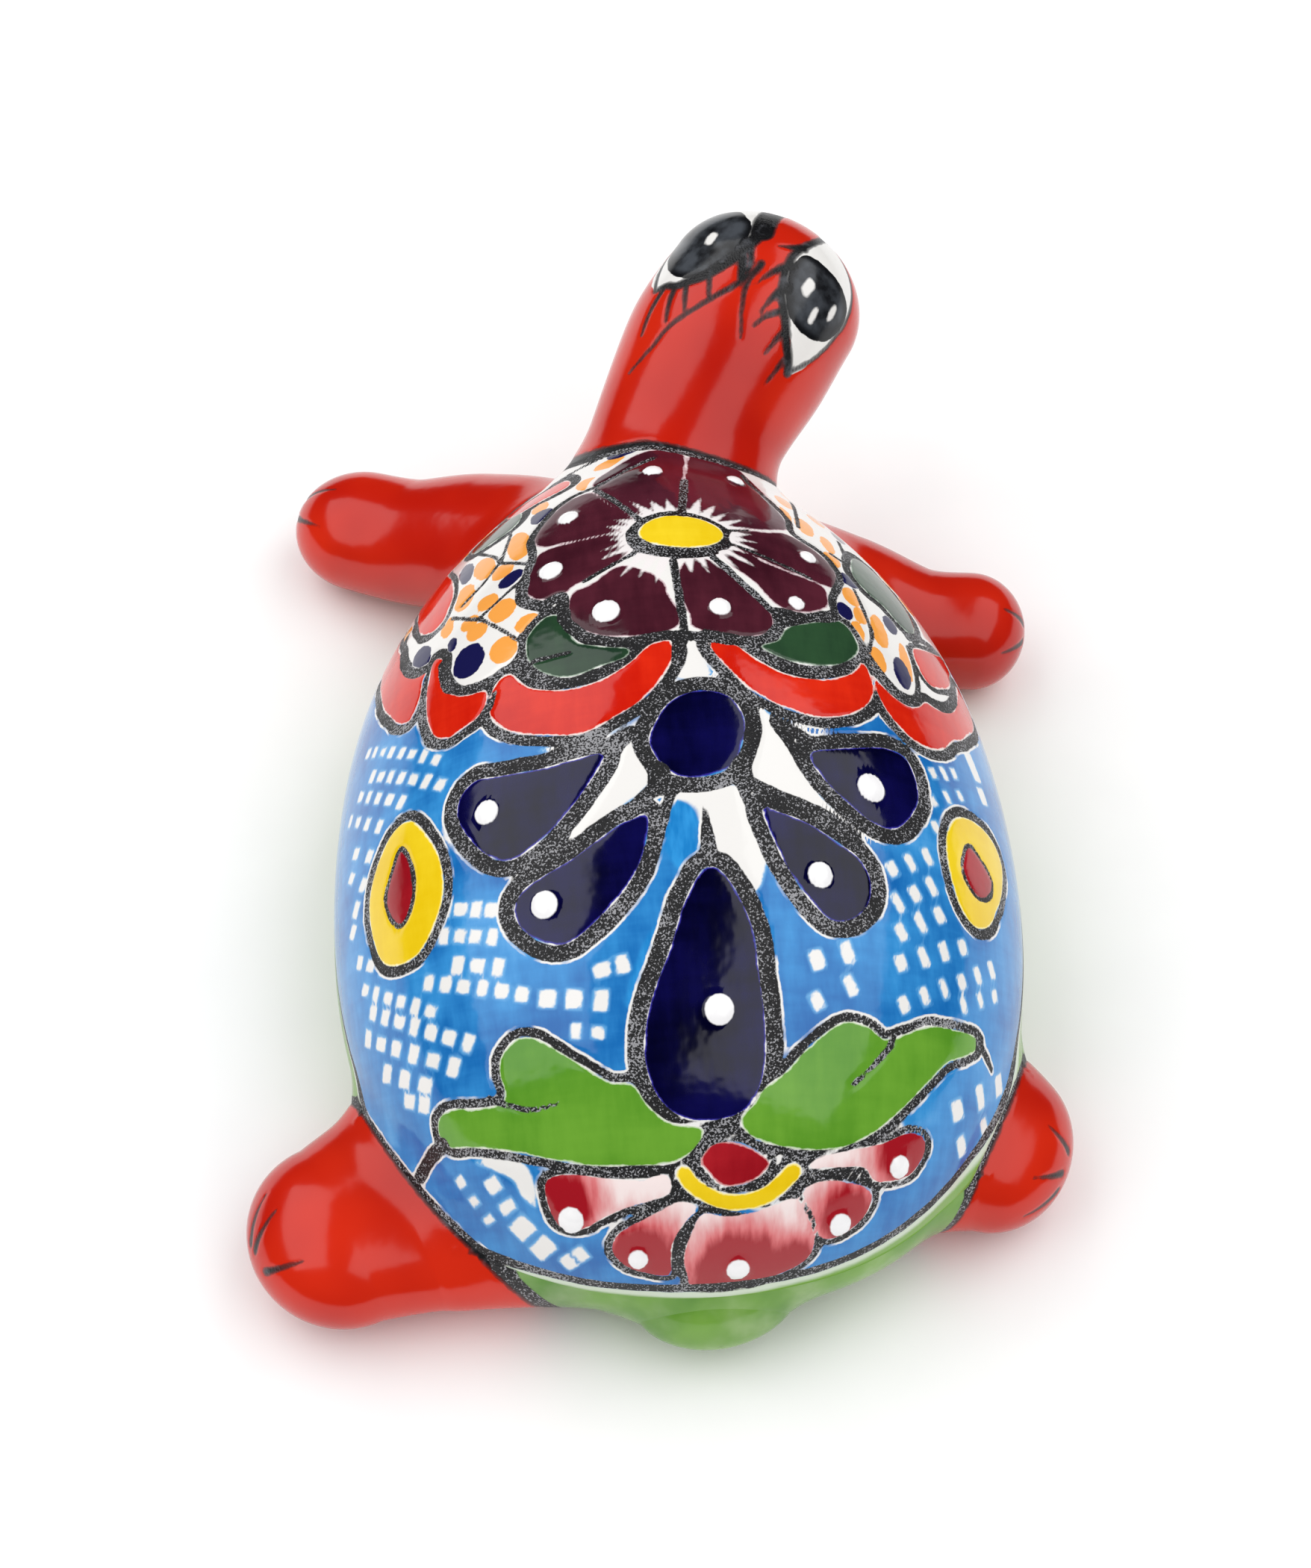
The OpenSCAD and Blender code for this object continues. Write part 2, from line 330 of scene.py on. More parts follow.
LEAF = (1.3, [
    [(0.5, 80.5), (5, 79.5), (8, 77), (10, 74), (13, 73.5), (16, 71.5), (19.5, 69), (23, 66.5), (26, 66),
     (28.5, 68), (29, 70.5), (28.5, 73), (29.5, 74.5), (33.5, 74.5), (37.5, 74), (40, 75), (40.5, 77.5),
     (39, 79.5), (35, 80), (30, 81), (23, 83), (17, 84.5), (11, 85), (5, 85), (1.5, 83)],
    [(-5, 79.5), (-7, 77.5), (-8.5, 75.5), (-11.5, 73.5), (-14, 71), (-17, 68.5), (-20.5, 66.5), (-24, 67),
     (-26.5, 68.5), (-30, 67.5), (-34, 66), (-40, 66), (-43.5, 66.5), (-44, 68), (-41.5, 69.5), (-37.5, 71),
     (-34, 74), (-29, 78.5), (-25, 81.5), (-20.5, 83.5), (-15, 84), (-9, 83), (-6, 81.5)],
])
PINK = (1.1, [
    [(6, 86.5), (9.5, 87), (14.5, 86.5), (19.5, 85.5), (22.5, 85.5), (24, 86.5), (24, 89.5), (23, 92.5),
     (21, 93.5), (18.5, 93.5), (16.5, 92.5), (12.5, 91), (8, 90), (5.5, 89)],
    [(4.5, 90.5), (8, 92), (11.5, 93.5), (14, 95), (15, 97.5), (13.5, 100), (11, 101.5), (6.5, 102.5),
     (6, 99.5), (5.5, 96.5), (3.5, 93.5), (1.5, 91.5)],
    [(1, 92.5), (3, 96), (4, 99.5), (3.5, 103), (2.5, 105), (-6.5, 105), (-11.5, 103.5), (-15.5, 101),
     (-16.5, 97.5), (-15, 93.5), (-13.5, 91), (-11.5, 91), (-7, 92.5), (-2.5, 93)],
    [(-14, 90), (-16.5, 88.5), (-20.5, 88.5), (-25, 90), (-25, 93), (-22.5, 96), (-19, 97.5), (-17, 96.5),
     (-16, 93.5)],
    [(-15, 86.5), (-16.5, 85), (-21.5, 84), (-26.5, 83), (-30.5, 81.5), (-33.5, 82), (-34, 84.5),
     (-32, 87.5), (-29, 88.5), (-25.5, 88.5), (-23.5, 86.5), (-19, 86.5)],
])
PURPLE = (0.0, [
    [(-1, 4.5), (0.5, 6.5), (4.5, 7), (9, 6.5), (12, 5), (14, 3), (14.5, -0.5), (13.5, -3), (10.5, -4),
     (6.5, -6.5), (1.5, -3), (0.5, 0.5)],
    [(-1.5, -3), (-2, 1), (-3, 4), (-3, 6), (-6, 7), (-11, 7.5), (-14, 6), (-14.5, 3.5), (-13.5, 0.5),
     (-11, -2), (-8.5, -5), (-6.5, -7), (-3.5, -7)],
    [(-8, -9.5), (-10.5, -6), (-13.5, -3), (-16, 0.5), (-19, 1), (-22, 0), (-24, -2), (-24, -5.5),
     (-21, -6.5), (-18, -7), (-15, -8), (-11.5, -10)],
    [(-10.5, -11.5), (-16.5, -8.5), (-21, -7.5), (-25.5, -7), (-27, -9.5), (-26.5, -13), (-24, -16),
     (-20, -18), (-16, -16.5), (-13.5, -16), (-10.5, -15)],
    [(-10, -17), (-13, -17), (-18, -19), (-20, -21), (-19, -28), (-17, -36), (-14, -39.5), (-7, -40),
     (-5, -31), (-4.5, -23), (-4, -20)],
    [(-3.5, -20), (-3, -24), (-4, -31), (-4.5, -39), (1, -39.5), (6, -37), (9.5, -33), (9, -27.5), (7, -23),
     (4.5, -19)],
    [(4.5, -18.5), (7, -21.5), (9, -25.5), (10.5, -29), (14, -29), (16.5, -26.5), (19, -23.5), (19.5, -20),
     (18.5, -17), (15, -16), (10, -15.5), (6, -16)],
    [(6, -14.5), (10, -14.5), (15.5, -15), (19, -14.5), (20.5, -10.5), (21, -6.5), (19, -4), (16, -3.5),
     (13.5, -5), (10, -6.5), (6, -9.5)],
])
YELLOW = (1.6, [
    [(41.5, 28.5), (38, 33), (36, 38), (36, 43.5), (39.5, 49.5), (43.5, 51), (48, 49.5), (50.5, 44),
     (51, 38), (49, 33), (45.5, 29)],
    [(-43.5, 31.5), (-48, 31), (-52.5, 32.5), (-54.5, 36), (-53, 41), (-50.5, 45), (-47.5, 48.5),
     (-44, 49.5), (-41, 47), (-39.5, 42), (-39.5, 37), (-41, 33.5)],
])
# Drops in the yellow rings, and the bud over the fan of pink petals.
MAROON_DROPS = [
    [(43.5, 32.5), (41.5, 36), (41, 40), (42, 43.5), (44, 45), (46, 43), (47, 39.5), (45.5, 35.5)],
    [(-44.5, 36), (-47.5, 37.5), (-50, 40.5), (-48.5, 43.5), (-45.5, 44.5), (-43, 42.5), (-42.5, 39.5)],
]
MAROON_BUD = (0.9, [
    [(1, 85), (-0.5, 83), (-2.5, 82.5), (-5.5, 83), (-9, 85.5), (-7.5, 87.5), (-5, 88.5), (-2, 88.5),
     (0, 86.5)],
])
# The arc round the bud, and the deep red tips of the fan's petals: u, v, radius.
YELLOW_ARC = [(3.5, 86.5), (2, 88.5), (-1.5, 90.5), (-5, 91), (-9, 90), (-12.5, 87)]
FAN_TIPS = [(22.5, 89.5, 5.5), (10.5, 99, 6), (-5, 103.5, 8.5), (-13.5, 102, 5), (-21.5, 94, 5),
            (-31, 84.5, 5.5)]

# Bare white ground: the cells in front of the red scallops, the wedges between the blue drops, and
# small patches beside the leaves.
WHITE = [
    [(-3.8, 43), (-1, 43.5), (-2.5, 46.6)],
    [(34.5, 82.2), (29.3, 81.6), (26.2, 84.5), (25.8, 89.5), (27.6, 88.2), (28.8, 85.6), (31.4, 83.7)],
    [(-2.5, 13), (3, 10), (12, 15), (22, 13), (30, 11), (36, 6), (41, -1), (47, -8), (50, -20), (60, -40),
     (64, -80), (0, -95), (-64, -80), (-60, -40), (-55, -22), (-54, -6), (-50, 5), (-42, 10), (-33, 12),
     (-27, 10), (-20, 14), (-12, 13), (-6, 9.5)],
    [(6, 23), (10, 28), (15, 35), (18, 40), (12, 37), (5, 32), (5, 27)],
    [(-10.5, 19), (-13, 22), (-16, 28), (-19, 34), (-22, 37.5), (-13, 34), (-9, 31), (-10.5, 25)],
    [(4, 33.5), (0, 35.5), (-2, 39), (-3, 43), (-6, 45), (-8.8, 48.5), (-10.5, 44), (-11, 38), (-9, 33.5),
     (-3, 33)],
    [(-2.5, 10.5), (0, 15), (-5, 15)],
    [(20, 24.5), (14, 23.8), (8, 22), (13, 25)],
    [(0.5, 80.5), (-2.7, 80), (-5.5, 80.5), (-7, 83), (-2.7, 82), (1, 83)],
]
# A blue streak down the white between the drops.
STREAK = [(1, 37.5), (1.5, 41), (-0.5, 46), (3, 52), (6.5, 57), (9, 63)]

# Brush lines of dry ink: their points, width and, where it changes, width at the end.
INK_STROKES = [
    ([(-2.5, 36), (-2.7, 43)], 0.6, 2.6),
    ([(4.5, 33), (8, 36.5)], 2.2),
    ([(2, 33.5), (3.5, 38), (5, 42)], 1.6, 1.4),
    ([(-7.5, 32), (-9.2, 37), (-10.5, 41)], 1.6, 1.2),
    ([(-8, 32), (-13, 34.5), (-18.5, 36.5), (-24, 40)], 2.2, 1.8),
    ([(7, 23.5), (10, 25)], 1.6),
    ([(7.5, 24.5), (10.3, 28), (15, 35), (17.5, 39.5)], 1.4, 1.2),
    ([(-13.5, 22.5), (-18.5, 25.5)], 2.0),
    ([(-13.5, 23), (-17, 29), (-20, 33.5), (-25.5, 38)], 1.6),
    ([(3.5, 30.5), (4, 33)], 3.4, 2.4),
    ([(-8, 30), (-8.4, 32.5)], 3.2, 2.4),
    ([(31, 73.5), (28, 75), (24.5, 76), (20.5, 75.5)], 1.0, 0.6),
    ([(40, 79), (43.5, 81), (46, 83.5)], 2.2, 2.0),
    ([(-28, 69), (-26, 71), (-24, 73), (-21.5, 75)], 1.1, 0.6),
    ([(-44, 67), (-48, 71)], 1.6, 0.9),
    ([(27.5, 14.5), (26.5, 12)], 1.2, 0.8),
    ([(20.5, 8.5), (15, 8.5)], 0.9, 0.6),
    ([(-1, -7), (-1.7, 6)], 1.3),
    ([(-7, -8), (-14.7, 2)], 1.3),
    ([(-10.3, -11.7), (-22.2, -7.2)], 0.7),
    ([(-9.4, -15), (-13.3, -16.4)], 0.6),
    ([(-3.1, -18.3), (-4.4, -29.4)], 1.3),
    ([(3.3, -17.2), (9.7, -30)], 1.0),
    ([(4.4, -9.4), (12.2, -5)], 0.8),
    ([(21.7, -9.4), (21.9, -5), (18.9, -2.2), (15.8, -2.8), (15.4, 2.2), (12.2, 6.4), (6.7, 8.3), (0, 7.6),
      (-8.9, 8.6), (-13.3, 7.8), (-15.6, 5), (-15.8, 2.2), (-20, 2.2), (-24.9, 0.6), (-25.4, -3.9),
      (-27.9, -10.6), (-26, -16), (-21, -19.5), (-20.8, -25), (-17, -34), (-15, -38.5)], 2.2, 1.2),
    ([(-0.5, 7.5), (0, 13)], 1.4),
    ([(-4, 9.5), (-6, 13)], 1.4),
    ([(21.8, -9), (20.2, -15), (20.4, -21), (17, -27.5), (13.5, -30.5), (9, -31.5), (4, -35),
      (0, -37.5)], 1.6, 1.0),
    ([(34.7, -9.4), (31.7, -6.7), (28.9, -4.4), (25.8, -0.6), (22.8, 3.3)], 0.8),
    ([(30.4, -26.7), (27.1, -21.1), (25.7, -17.8), (23.3, -15.6), (20.6, -13.3)], 0.8),
    ([(25.7, -17.8), (24.3, -26.7)], 0.8),
    ([(26, -18), (29, -14), (33, -11)], 0.7),
    ([(29.4, -5), (26, -7.2), (22.8, -9.4), (20.8, -11)], 0.7),
    ([(36.3, 1), (35.3, 6.5), (32, 8.9), (28, 9.2), (24.3, 8.1), (22.9, 6.9)], 1.4, 1.2),
    ([(46.8, -18.3), (46.8, -11.7), (45, -5), (42, -1.2), (39.4, -0.3)], 1.4),
    ([(45, -20.6), (43.2, -14), (41.6, -10), (39.3, -8.5), (36.6, -9.1)], 1.2),
    ([(-30.3, -9), (-31.2, -4), (-31.7, 1), (-30.3, 5.6)], 0.8),
    ([(-27.6, -17.8), (-30.3, -16.7)], 0.8),
    ([(-24.5, -40), (-22.6, -23)], 0.8),
    ([(-30.6, -17), (-31.2, -26.7)], 0.8),
    ([(-30.3, 6.7), (-32.6, 10), (-35.3, 12), (-38, 11.5), (-39.5, 8.3), (-39.8, 3.3),
      (-39.5, -0.6)], 1.3, 1.2),
    ([(-41, 9.5), (-44, 10.3), (-47.5, 8.3), (-50.3, 4.4)], 1.2),
    ([(-40.3, -3.9), (-44, -6.5), (-48, -8.3), (-53.5, -11)], 1.9, 1.5),
    ([(18, -45.5), (10, -43), (0, -42), (-10, -42.5), (-18, -44.5)], 0.8),
    ([(0, 88.2), (-3, 89.4), (-7, 88.9), (-9.8, 86.6)], 0.7),
]
# Ovals: u, v, half width, half height and, for some, a turn in radians.
ORANGE = [
    (32.5, -13.3, 2.1, 3.9), (28.9, -19.2, 2.1, 4.2, 0.2), (22.7, -20.6, 2.1, 5, 0.1),
    (25.3, -14.7, 2, 2.2), (35.5, -7.5, 1.4, 2.6), (27.8, -8.1, 2, 1.9), (25.3, -4.4, 2.4, 2.6),
    (29.7, -2.2, 2, 2), (31.1, -5.2, 1.7, 1.7), (25, 4.2, 2.4, 2.8), (21.1, 0.6, 2.1, 2),
    (-20, -26, 1.8, 3.8), (-23.9, -24.4, 1.8, 3.5), (-27.6, -21, 1.3, 3), (-27.3, -15.6, 1.7, 2.3),
    (-29.2, -6.4, 1.6, 2.4), (-30.1, -2.2, 1.4, 2), (-28.9, 2.2, 1.3, 2.6), (-31.7, 6.7, 1.6, 2.8),
    (-33.4, -0.6, 1.6, 4), (-37.8, 3.9, 1.2, 4.5), (11, -34, 2, 2.6), (6.7, -39.4, 3, 1.6),
    (-28, -33, 1.8, 3), (-22, -34, 1.8, 3.4), (19, -32, 1.6, 2.6),
]
NAVY = [
    (31, 3.5, 2.9, 3.5), (32.8, -22, 1.6, 4.5, 0.1), (23.9, -11.4, 2.3, 1.7, 0.5), (34.2, -2.2, 1, 1.6),
    (18.5, -27.5, 2.2, 3, 0.4), (40.8, -4.3, 2.2, 3.4, 0.3), (-27.3, -1.9, 1.5, 2), (-29.8, -11.1, 2, 1.8),
    (-36.4, 7.2, 1.7, 3.5), (-36.4, -4, 1.5, 2.4), (4.4, -41.7, 3, 1.6), (-32, -30, 1.5, 2.6),
]
# Raised white spots: u, v, radius.
DOTS = [
    (9.3, 2.1, 2.05), (-7.1, 2.5, 1.6), (-18.9, -0.3, 1.3), (-22.5, -12.9, 1.4), (-13.2, -34.4, 1.5),
    (0.4, -32, 1.6), (14.2, -22.8, 1.7), (17.2, -9.4, 1.9), (28.3, 32.3, 1.85), (-26.9, 31.6, 2.2),
    (20.6, 48.2, 1.95), (-18, 46.1, 1.85), (-2.7, 64.8, 2.1), (20.7, 92.1, 2), (11.1, 99.1, 1.6),
    (-4.5, 101.9, 1.9), (-20.4, 95.1, 1.8), (-29.5, 86.4, 1.7),
]
# White squares that the net of blue strokes leaves, in rows: u, v, step of u, step of v, count and
# half length.
NET_ROWS = [
    (53.8, 7.6, -2.45, 1.75, 8, 0.8), (51.5, 14.5, -2.6, 1.7, 7, 0.9), (55.1, 16.3, -2.9, 2.0, 5, 0.9),
    (58.9, 18.8, -3.4, 2.4, 4, 0.9), (55.5, 27.4, -4.4, 2.8, 2, 1.0), (56.9, 31.3, -4.1, 3.2, 2, 1.0),
    (55.1, 37.9, -2.4, 1.6, 1, 1.1), (56.3, 41.3, -2.4, 1.6, 1, 1.0), (54.3, 47.3, -3.1, 1.55, 3, 0.9),
    (35.5, 45.3, -2.4, 0.65, 4, 0.95), (36, 49.1, -2.5, 0.7, 4, 0.95), (34.1, 53.9, -3.1, 0.9, 3, 1.0),
    (39.2, 55.2, -2.9, 0.98, 6, 0.95), (21.1, 61.3, -3.75, 0.55, 3, 1.15), (13.2, 58.4, -2.9, -0.6, 2, 1.0),
    (17.4, 66.2, -3.1, 0.5, 2, 0.8), (53, 52.3, -2.76, 1.42, 6, 0.9), (51.5, 56.5, -3, 1.47, 7, 1.0),
    (53.7, 60, -3.5, 1.62, 6, 1.1), (49.7, 66.5, -4, 1.6, 3, 1.2), (45.4, 71.6, -3, 1.0, 2, 1.1),
    (-38.8, 25.6, -2.5, -1.0, 3, 0.7), (-50.1, 19.1, -2.5, -1.0, 1, 1.7), (-37.9, 30.6, -3.2, -1.6, 3, 0.7),
    (-51.4, 24.2, -3, -1, 1, 1.2), (-37.7, 35.2, -3, -1, 1, 0.8), (-29.1, 43.9, -3.15, -1.65, 3, 0.9),
    (-29.6, 48.8, -3.0, -1.8, 3, 0.95), (-29.8, 53.1, -3.4, -1.85, 3, 0.95),
    (-29.5, 57.6, -3.8, -1.4, 4, 0.95), (-29.7, 63.5, -3.55, -1.6, 6, 0.9),
    (-40.6, 62.2, -3.75, -1.4, 3, 0.8), (-16.8, 58.1, -4.5, -1.3, 2, 1.1),
    (-16.5, 63.8, -5.0, -2.4, 2, 1.0), (-39.9, 77.7, -5.4, -2.2, 3, 1.3), (-42, 83.3, -5.6, -3, 2, 1.2),
    (38.1, 85, -1.8, 3.2, 3, 0.8), (32.3, 85.9, -1.7, 3.5, 2, 1.15), (28.8, 93, -2.7, 3.6, 2, 1.7),
    (22.4, 99.3, -2.4, -1.5, 2, 1.1),
]
FLOWER = (-2.4, -13.2)
# Spots carry on round the front, hidden by the neck, in rings inside the hem: about how many would
# go right round, and the v where they stop. All the spots keep clear of the other colours.
FRONT_SPOTS, FRONT_V = 46, -24
SPOT_CLEARANCE = 1.3


def hem_line():
    """The black line near the rim where the painted ground ends, round the whole shell."""
    bearing = np.linspace(-math.pi, math.pi, 240, endpoint=False)
    _, _, along = meridians(bearing)
    wave = 0.003 * np.sin(5 * bearing) + 0.002 * np.sin(11 * bearing + 1)
    far = along[:, -1] * (0.92 + 0.055 * np.sin(bearing) + 0.03 * np.cos(bearing) + wave)
    return np.stack([far * np.cos(bearing), far * np.sin(bearing)], axis=1)


def star(centre, half_u, half_v, longest, teeth, seed):
    """A ring of pointed brush marks of uneven length round an oval."""
    rng = np.random.default_rng(seed)
    angle = np.linspace(0, 2 * math.pi, 2 * teeth, endpoint=False) + rng.uniform(-0.02, 0.02, 2 * teeth)
    reach = np.where(np.arange(2 * teeth) % 2 == 0, rng.uniform(0.45, 1.0, 2 * teeth) * longest, 0.8)
    reach[::2] *= 0.75 + 0.35 * np.sin(angle[::2]) ** 2
    u = centre[0] + (half_u + reach) * np.cos(angle)
    v = centre[1] + (half_v + reach) * np.sin(angle)
    return np.stack([u, v], axis=1)


def net_cells(u, v, step_u, step_v, count, half):
    """The corners of a row's white squares, which on the turtle's right are higher than wide."""
    ahead = np.array([step_u, step_v]) / math.hypot(step_u, step_v)
    across = np.array([ahead[1], -ahead[0]])
    long_share, wide_share = (0.96, 1.1) if u > 0 else (0.8, 1.4)
    for k in range(count):
        uneven = 0.14 * math.sin(2.3 * k + 1.9 * u + v)
        run = ahead * half * long_share * (1 + uneven)
        rise = across * half * wide_share * (1 - uneven)
        middle = np.array([u + k * step_u, v + k * step_v])
        yield np.array([middle - run - rise, middle + run - rise, middle + run + rise, middle - run + rise])


def paint_spots(paint, hem):
    """Orange and navy spots, drawn ones and those of the hidden front, kept off the other colours."""
    for name, spots in (("orange", ORANGE), ("navy", NAVY)):
        for spot in spots:
            paint.oval(name, *spot)
    pace = len(hem) // FRONT_SPOTS
    for k in range(0, len(hem), pace):
        if hem[k][1] < FRONT_V:
            for share, radius in ((0.76, 2.3), (0.9, 1.9)):
                paint.oval("orange", *(share * hem[k]), radius, radius)
            paint.oval("navy", *(0.84 * hem[(k + pace // 2) % len(hem)]), 1.5, 1.7)
    painted = [paint.layers[name] for name in ("red", "dark_green", "leaf", "purple", "maroon", "yellow")]
    for name in ("orange", "navy"):
        paint.layers[name] = np.minimum(paint.layers[name], -np.max(painted, axis=0) - SPOT_CLEARANCE)


def paint_shell(paint):
    """All the marks of the shell, and the line near its rim that they end at."""
    hem = hem_line()
    inked = (("cobalt", COBALT), ("red", RED), ("leaf", LEAF), ("dark_green", DARK_GREEN), ("pink", PINK),
             ("purple", PURPLE), ("yellow", YELLOW), ("red", RED_PETALS), ("maroon", MAROON_BUD))
    for name, (band, outlines) in inked:
        for points in outlines:
            paint.fill(name, points, band)
    for points in MAROON_DROPS:
        paint.fill("maroon", points)
        loop = smooth_loop(points)
        paint.stroke("ink", np.vstack([loop, loop[:1]]), 0.8)
    paint.stroke("yellow", YELLOW_ARC, 2.2, 2.6)
    paint.stroke("band", YELLOW_ARC, 4.4, 4.6)
    paint.oval("yellow", -2.7, -13.9, 6.4, 4.0, corners=40)
    paint.oval("band", *FLOWER, 8.2, 5.8, corners=40)
    paint.outline("rays", star(FLOWER, 7.5, 5.1, longest=7.0, teeth=30, seed=3))
    paint_spots(paint, hem)
    for points in WHITE:
        paint.fill("white", points)
    for row in NET_ROWS:
        for corners in net_cells(*row):
            paint.outline("white", corners)
    paint.stroke("streak", STREAK, 5.0, 2.5)
    for points, *widths in INK_STROKES:
        paint.stroke("ink", points, *widths)
    for u, v, radius in DOTS:
        paint.oval("dots", u, v, radius, radius * 1.05, corners=16)
    paint.outline("inner", hem)
    paint.close_bands([*dict(inked), "orange", "navy"])
    layers = paint.layers
    layers["purple"] += 0.4
    layers["rays"] = np.minimum(layers["rays"], -layers["yellow"] - 0.2)
    tips = [depth - np.hypot(*(paint.flat - (u, v)).T) for u, v, depth in FAN_TIPS]
    layers["tips"] = np.clip(np.max(tips, axis=0), -paint.REACH, paint.REACH)


# The head's marks, on its map, and the lines of dry ink on and round the eyes.
EYES = {
    "white": [
        [(42.3, -56), (48.9, -69), (54.5, -75), (61, -76), (66.5, -73), (71, -65), (73, -56), (69, -40),
         (62, -27), (57.3, -26), (53.5, -31), (50, -41), (47.5, -50)],
        [(45.5, 42), (46.2, 34), (46.5, 26), (47.6, 20), (50.3, 10), (55.7, 2), (60.9, 1), (67, 12),
         (69, 26), (67, 42), (61, 56), (54, 62), (48, 54)],
    ],
    "iris": [
        [(61.5, -31), (62, -48), (60.5, -66), (57, -75), (52.5, -71), (50.2, -56), (51, -42), (54.5, -31),
         (58, -27)],
        [(63, 20), (61, 8), (56, 2), (50.5, 8), (48.6, 18), (48, 30), (49.5, 44), (54, 60), (60, 58),
         (64, 36)],
    ],
    # The shine marks are painted highlights: spots of white glaze where light glints on the irises.
    "shine": [
        [(56, -38), (58.2, -39), (57.6, -44), (55.2, -43)],
        [(52.4, -52), (54.8, -51), (54.6, -54), (52.6, -55)],
        [(54.8, -61), (57.4, -61), (57.2, -64), (55, -64)],
        [(55, 22), (57, 22), (57, 27), (55, 27)],
    ],
}
EYE_STROKES = [
    ([(42.3, -56), (48.9, -69.5), (54.5, -75.5), (61, -76.5), (66.5, -73.5), (71, -65.5),
      (73.3, -56)], 1.0, 1.2),
    ([(73.3, -56), (69, -39.5), (62, -26), (57.3, -25), (53.5, -30.5), (50, -40.5),
      (42.3, -55.5)], 1.6, 2.0),
    ([(62.5, -27), (61, -20), (60, -14)], 2.2, 0.3),
    ([(58, -27), (55.5, -20), (52, -16)], 2.4, 0.3),
    ([(54.5, -31), (52, -28), (48, -26)], 2.6, 0.3),
    ([(51.4, -37), (48.5, -30), (45.7, -26)], 1.7, 0.7),
    ([(48.5, -43), (45.5, -40), (42.5, -38)], 1.5, 0.7),
    ([(44.5, -50), (41, -48), (38.1, -46)], 1.4, 0.6),
    ([(45.3, 40), (46.2, 34), (46.5, 26), (47.6, 20), (50.3, 10), (55.7, 2), (60.9, 0)], 1.4, 3.0),
    ([(60.9, 0), (66, 10), (70, 24), (69, 40)], 4.4, 3.6),
    ([(69, 40), (61, 58), (54, 63), (45.3, 42)], 2.0, 1.2),
    ([(46.2, 34), (42, 37), (37.9, 37)], 1.6, 0.9),
    ([(46.5, 26), (43.5, 25), (40.6, 22)], 1.6, 0.9),
    ([(47.6, 20), (45.7, 17), (42.9, 13)], 1.6, 0.9),
    ([(50.3, 10), (49, 7), (46.1, 2)], 1.6, 0.9),
    ([(55.7, 2), (54, -4), (51.8, -8)], 2.6, 1.6),
    ([(58.2, 1), (57.1, -2), (52.1, -9), (46.2, 2), (40.1, 18), (35.9, 26), (32, 37)], 1.7, 0.8),
    ([(55.6, -12), (51.8, -12), (47.9, -16), (42.6, -22)], 1.6, 0.6),
    ([(68, 100), (66, 130), (65, 180), (66, 230), (68, 260)], 0.9),
    ([(75, 95), (74, 125)], 1.3, 0.8),
    ([(75, -95), (74, -125)], 1.3, 0.8),
]


def paint_head(paint):
    for name, outlines in EYES.items():
        for points in outlines:
            paint.fill(name, points)
    for points, *widths in EYE_STROKES:
        paint.stroke("ink", points, *widths)


# Toe lines: how far back from the limb's tip they reach, then each one's turn in degrees.
TOES = {
    "front_left_flipper": (13, -40, 0, 40),
    "front_right_flipper": (10, -12, 40, -60),
    "rear_left_foot": (10, -39, -18, 25),
    "rear_right_foot": (9, 6, -38, -78),
}


def paint_toes(paint, name, length):
    """Short tapering lines on a foot, from near its tip back to its own distance from there."""
    back, *turns = TOES.get(name, (0,))
    for turn in turns:
        paint.stroke("ink", [(length - 3.5, turn), (length - back, turn * 1.05)], 1.5, 0.5)


# ---------------- meshes

def grid_faces(rows, columns, wrap, first=0):
    """Quads over a grid of vertices stored row by row; wrap joins the last column to the first."""
    row = np.arange(rows - 1)[:, None] * columns
    column = np.arange(columns if wrap else columns - 1)[None]
    after = (column + 1) % columns
    quads = np.stack([row + column, row + after, row + columns + after, row + columns + column], axis=-1)
    return (quads.reshape(-1, 4) + first).tolist()


def ring_faces(rings, count):
    """Quads over rings of vertices, with the last ring joined to the first."""
    last = (rings - 1) * count
    joined = [[last + k, last + (k + 1) % count, (k + 1) % count, k] for k in range(count)]
    return grid_faces(rings, count, True) + joined


def fan_faces(ring, centre):
    """Triangles from a ring of vertices to the one at its centre."""
    return [[centre, ring[k], ring[k - 1]] for k in range(len(ring))]


def make_piece(name, node, spots, faces):
    """A mesh object from places in mm, facing outwards, that stands for a CAD node."""
    mesh = bpy.data.meshes.new(name)
    mesh.from_pydata((spots * MM).tolist(), [], [list(map(int, face)) for face in faces])
    mesh.update()
    piece = bpy.data.objects.new(name, mesh)
    bpy.context.scene.collection.objects.link(piece)
    mesh.polygons.foreach_set("use_smooth", [True] * len(mesh.polygons))
    face_outwards(mesh)
    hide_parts(node)
    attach(piece, "root")
    return piece


def pull(items, key, width=3):
    """A property of all of a mesh's items, one row for each."""
    values = np.empty(len(items) * width)
    items.foreach_get(key, values)
    return values.reshape(-1, width)


def mesh_normals(mesh, count):
    """The normals of the first vertices."""
    return pull(mesh.vertex_normals, "vector")[:count]


def face_outwards(mesh):
    """Turns every face round if the closed mesh is inside out."""
    centres, normals = pull(mesh.polygons, "center"), pull(mesh.polygons, "normal")
    volume = ((centres * normals).sum(axis=1) * pull(mesh.polygons, "area", 1)[:, 0]).sum()
    if volume < 0:
        mesh.flip_normals()


def store_layers(mesh, layers):
    """Keeps the paint layers on the mesh; vertices past the painted ones get none."""
    for name, depth in layers.items():
        values = np.full(len(mesh.vertices), -Paint.REACH, np.float32)
        values[:len(depth)] = depth
        mesh.attributes.new(name, "FLOAT", "POINT").data.foreach_set("value", values)


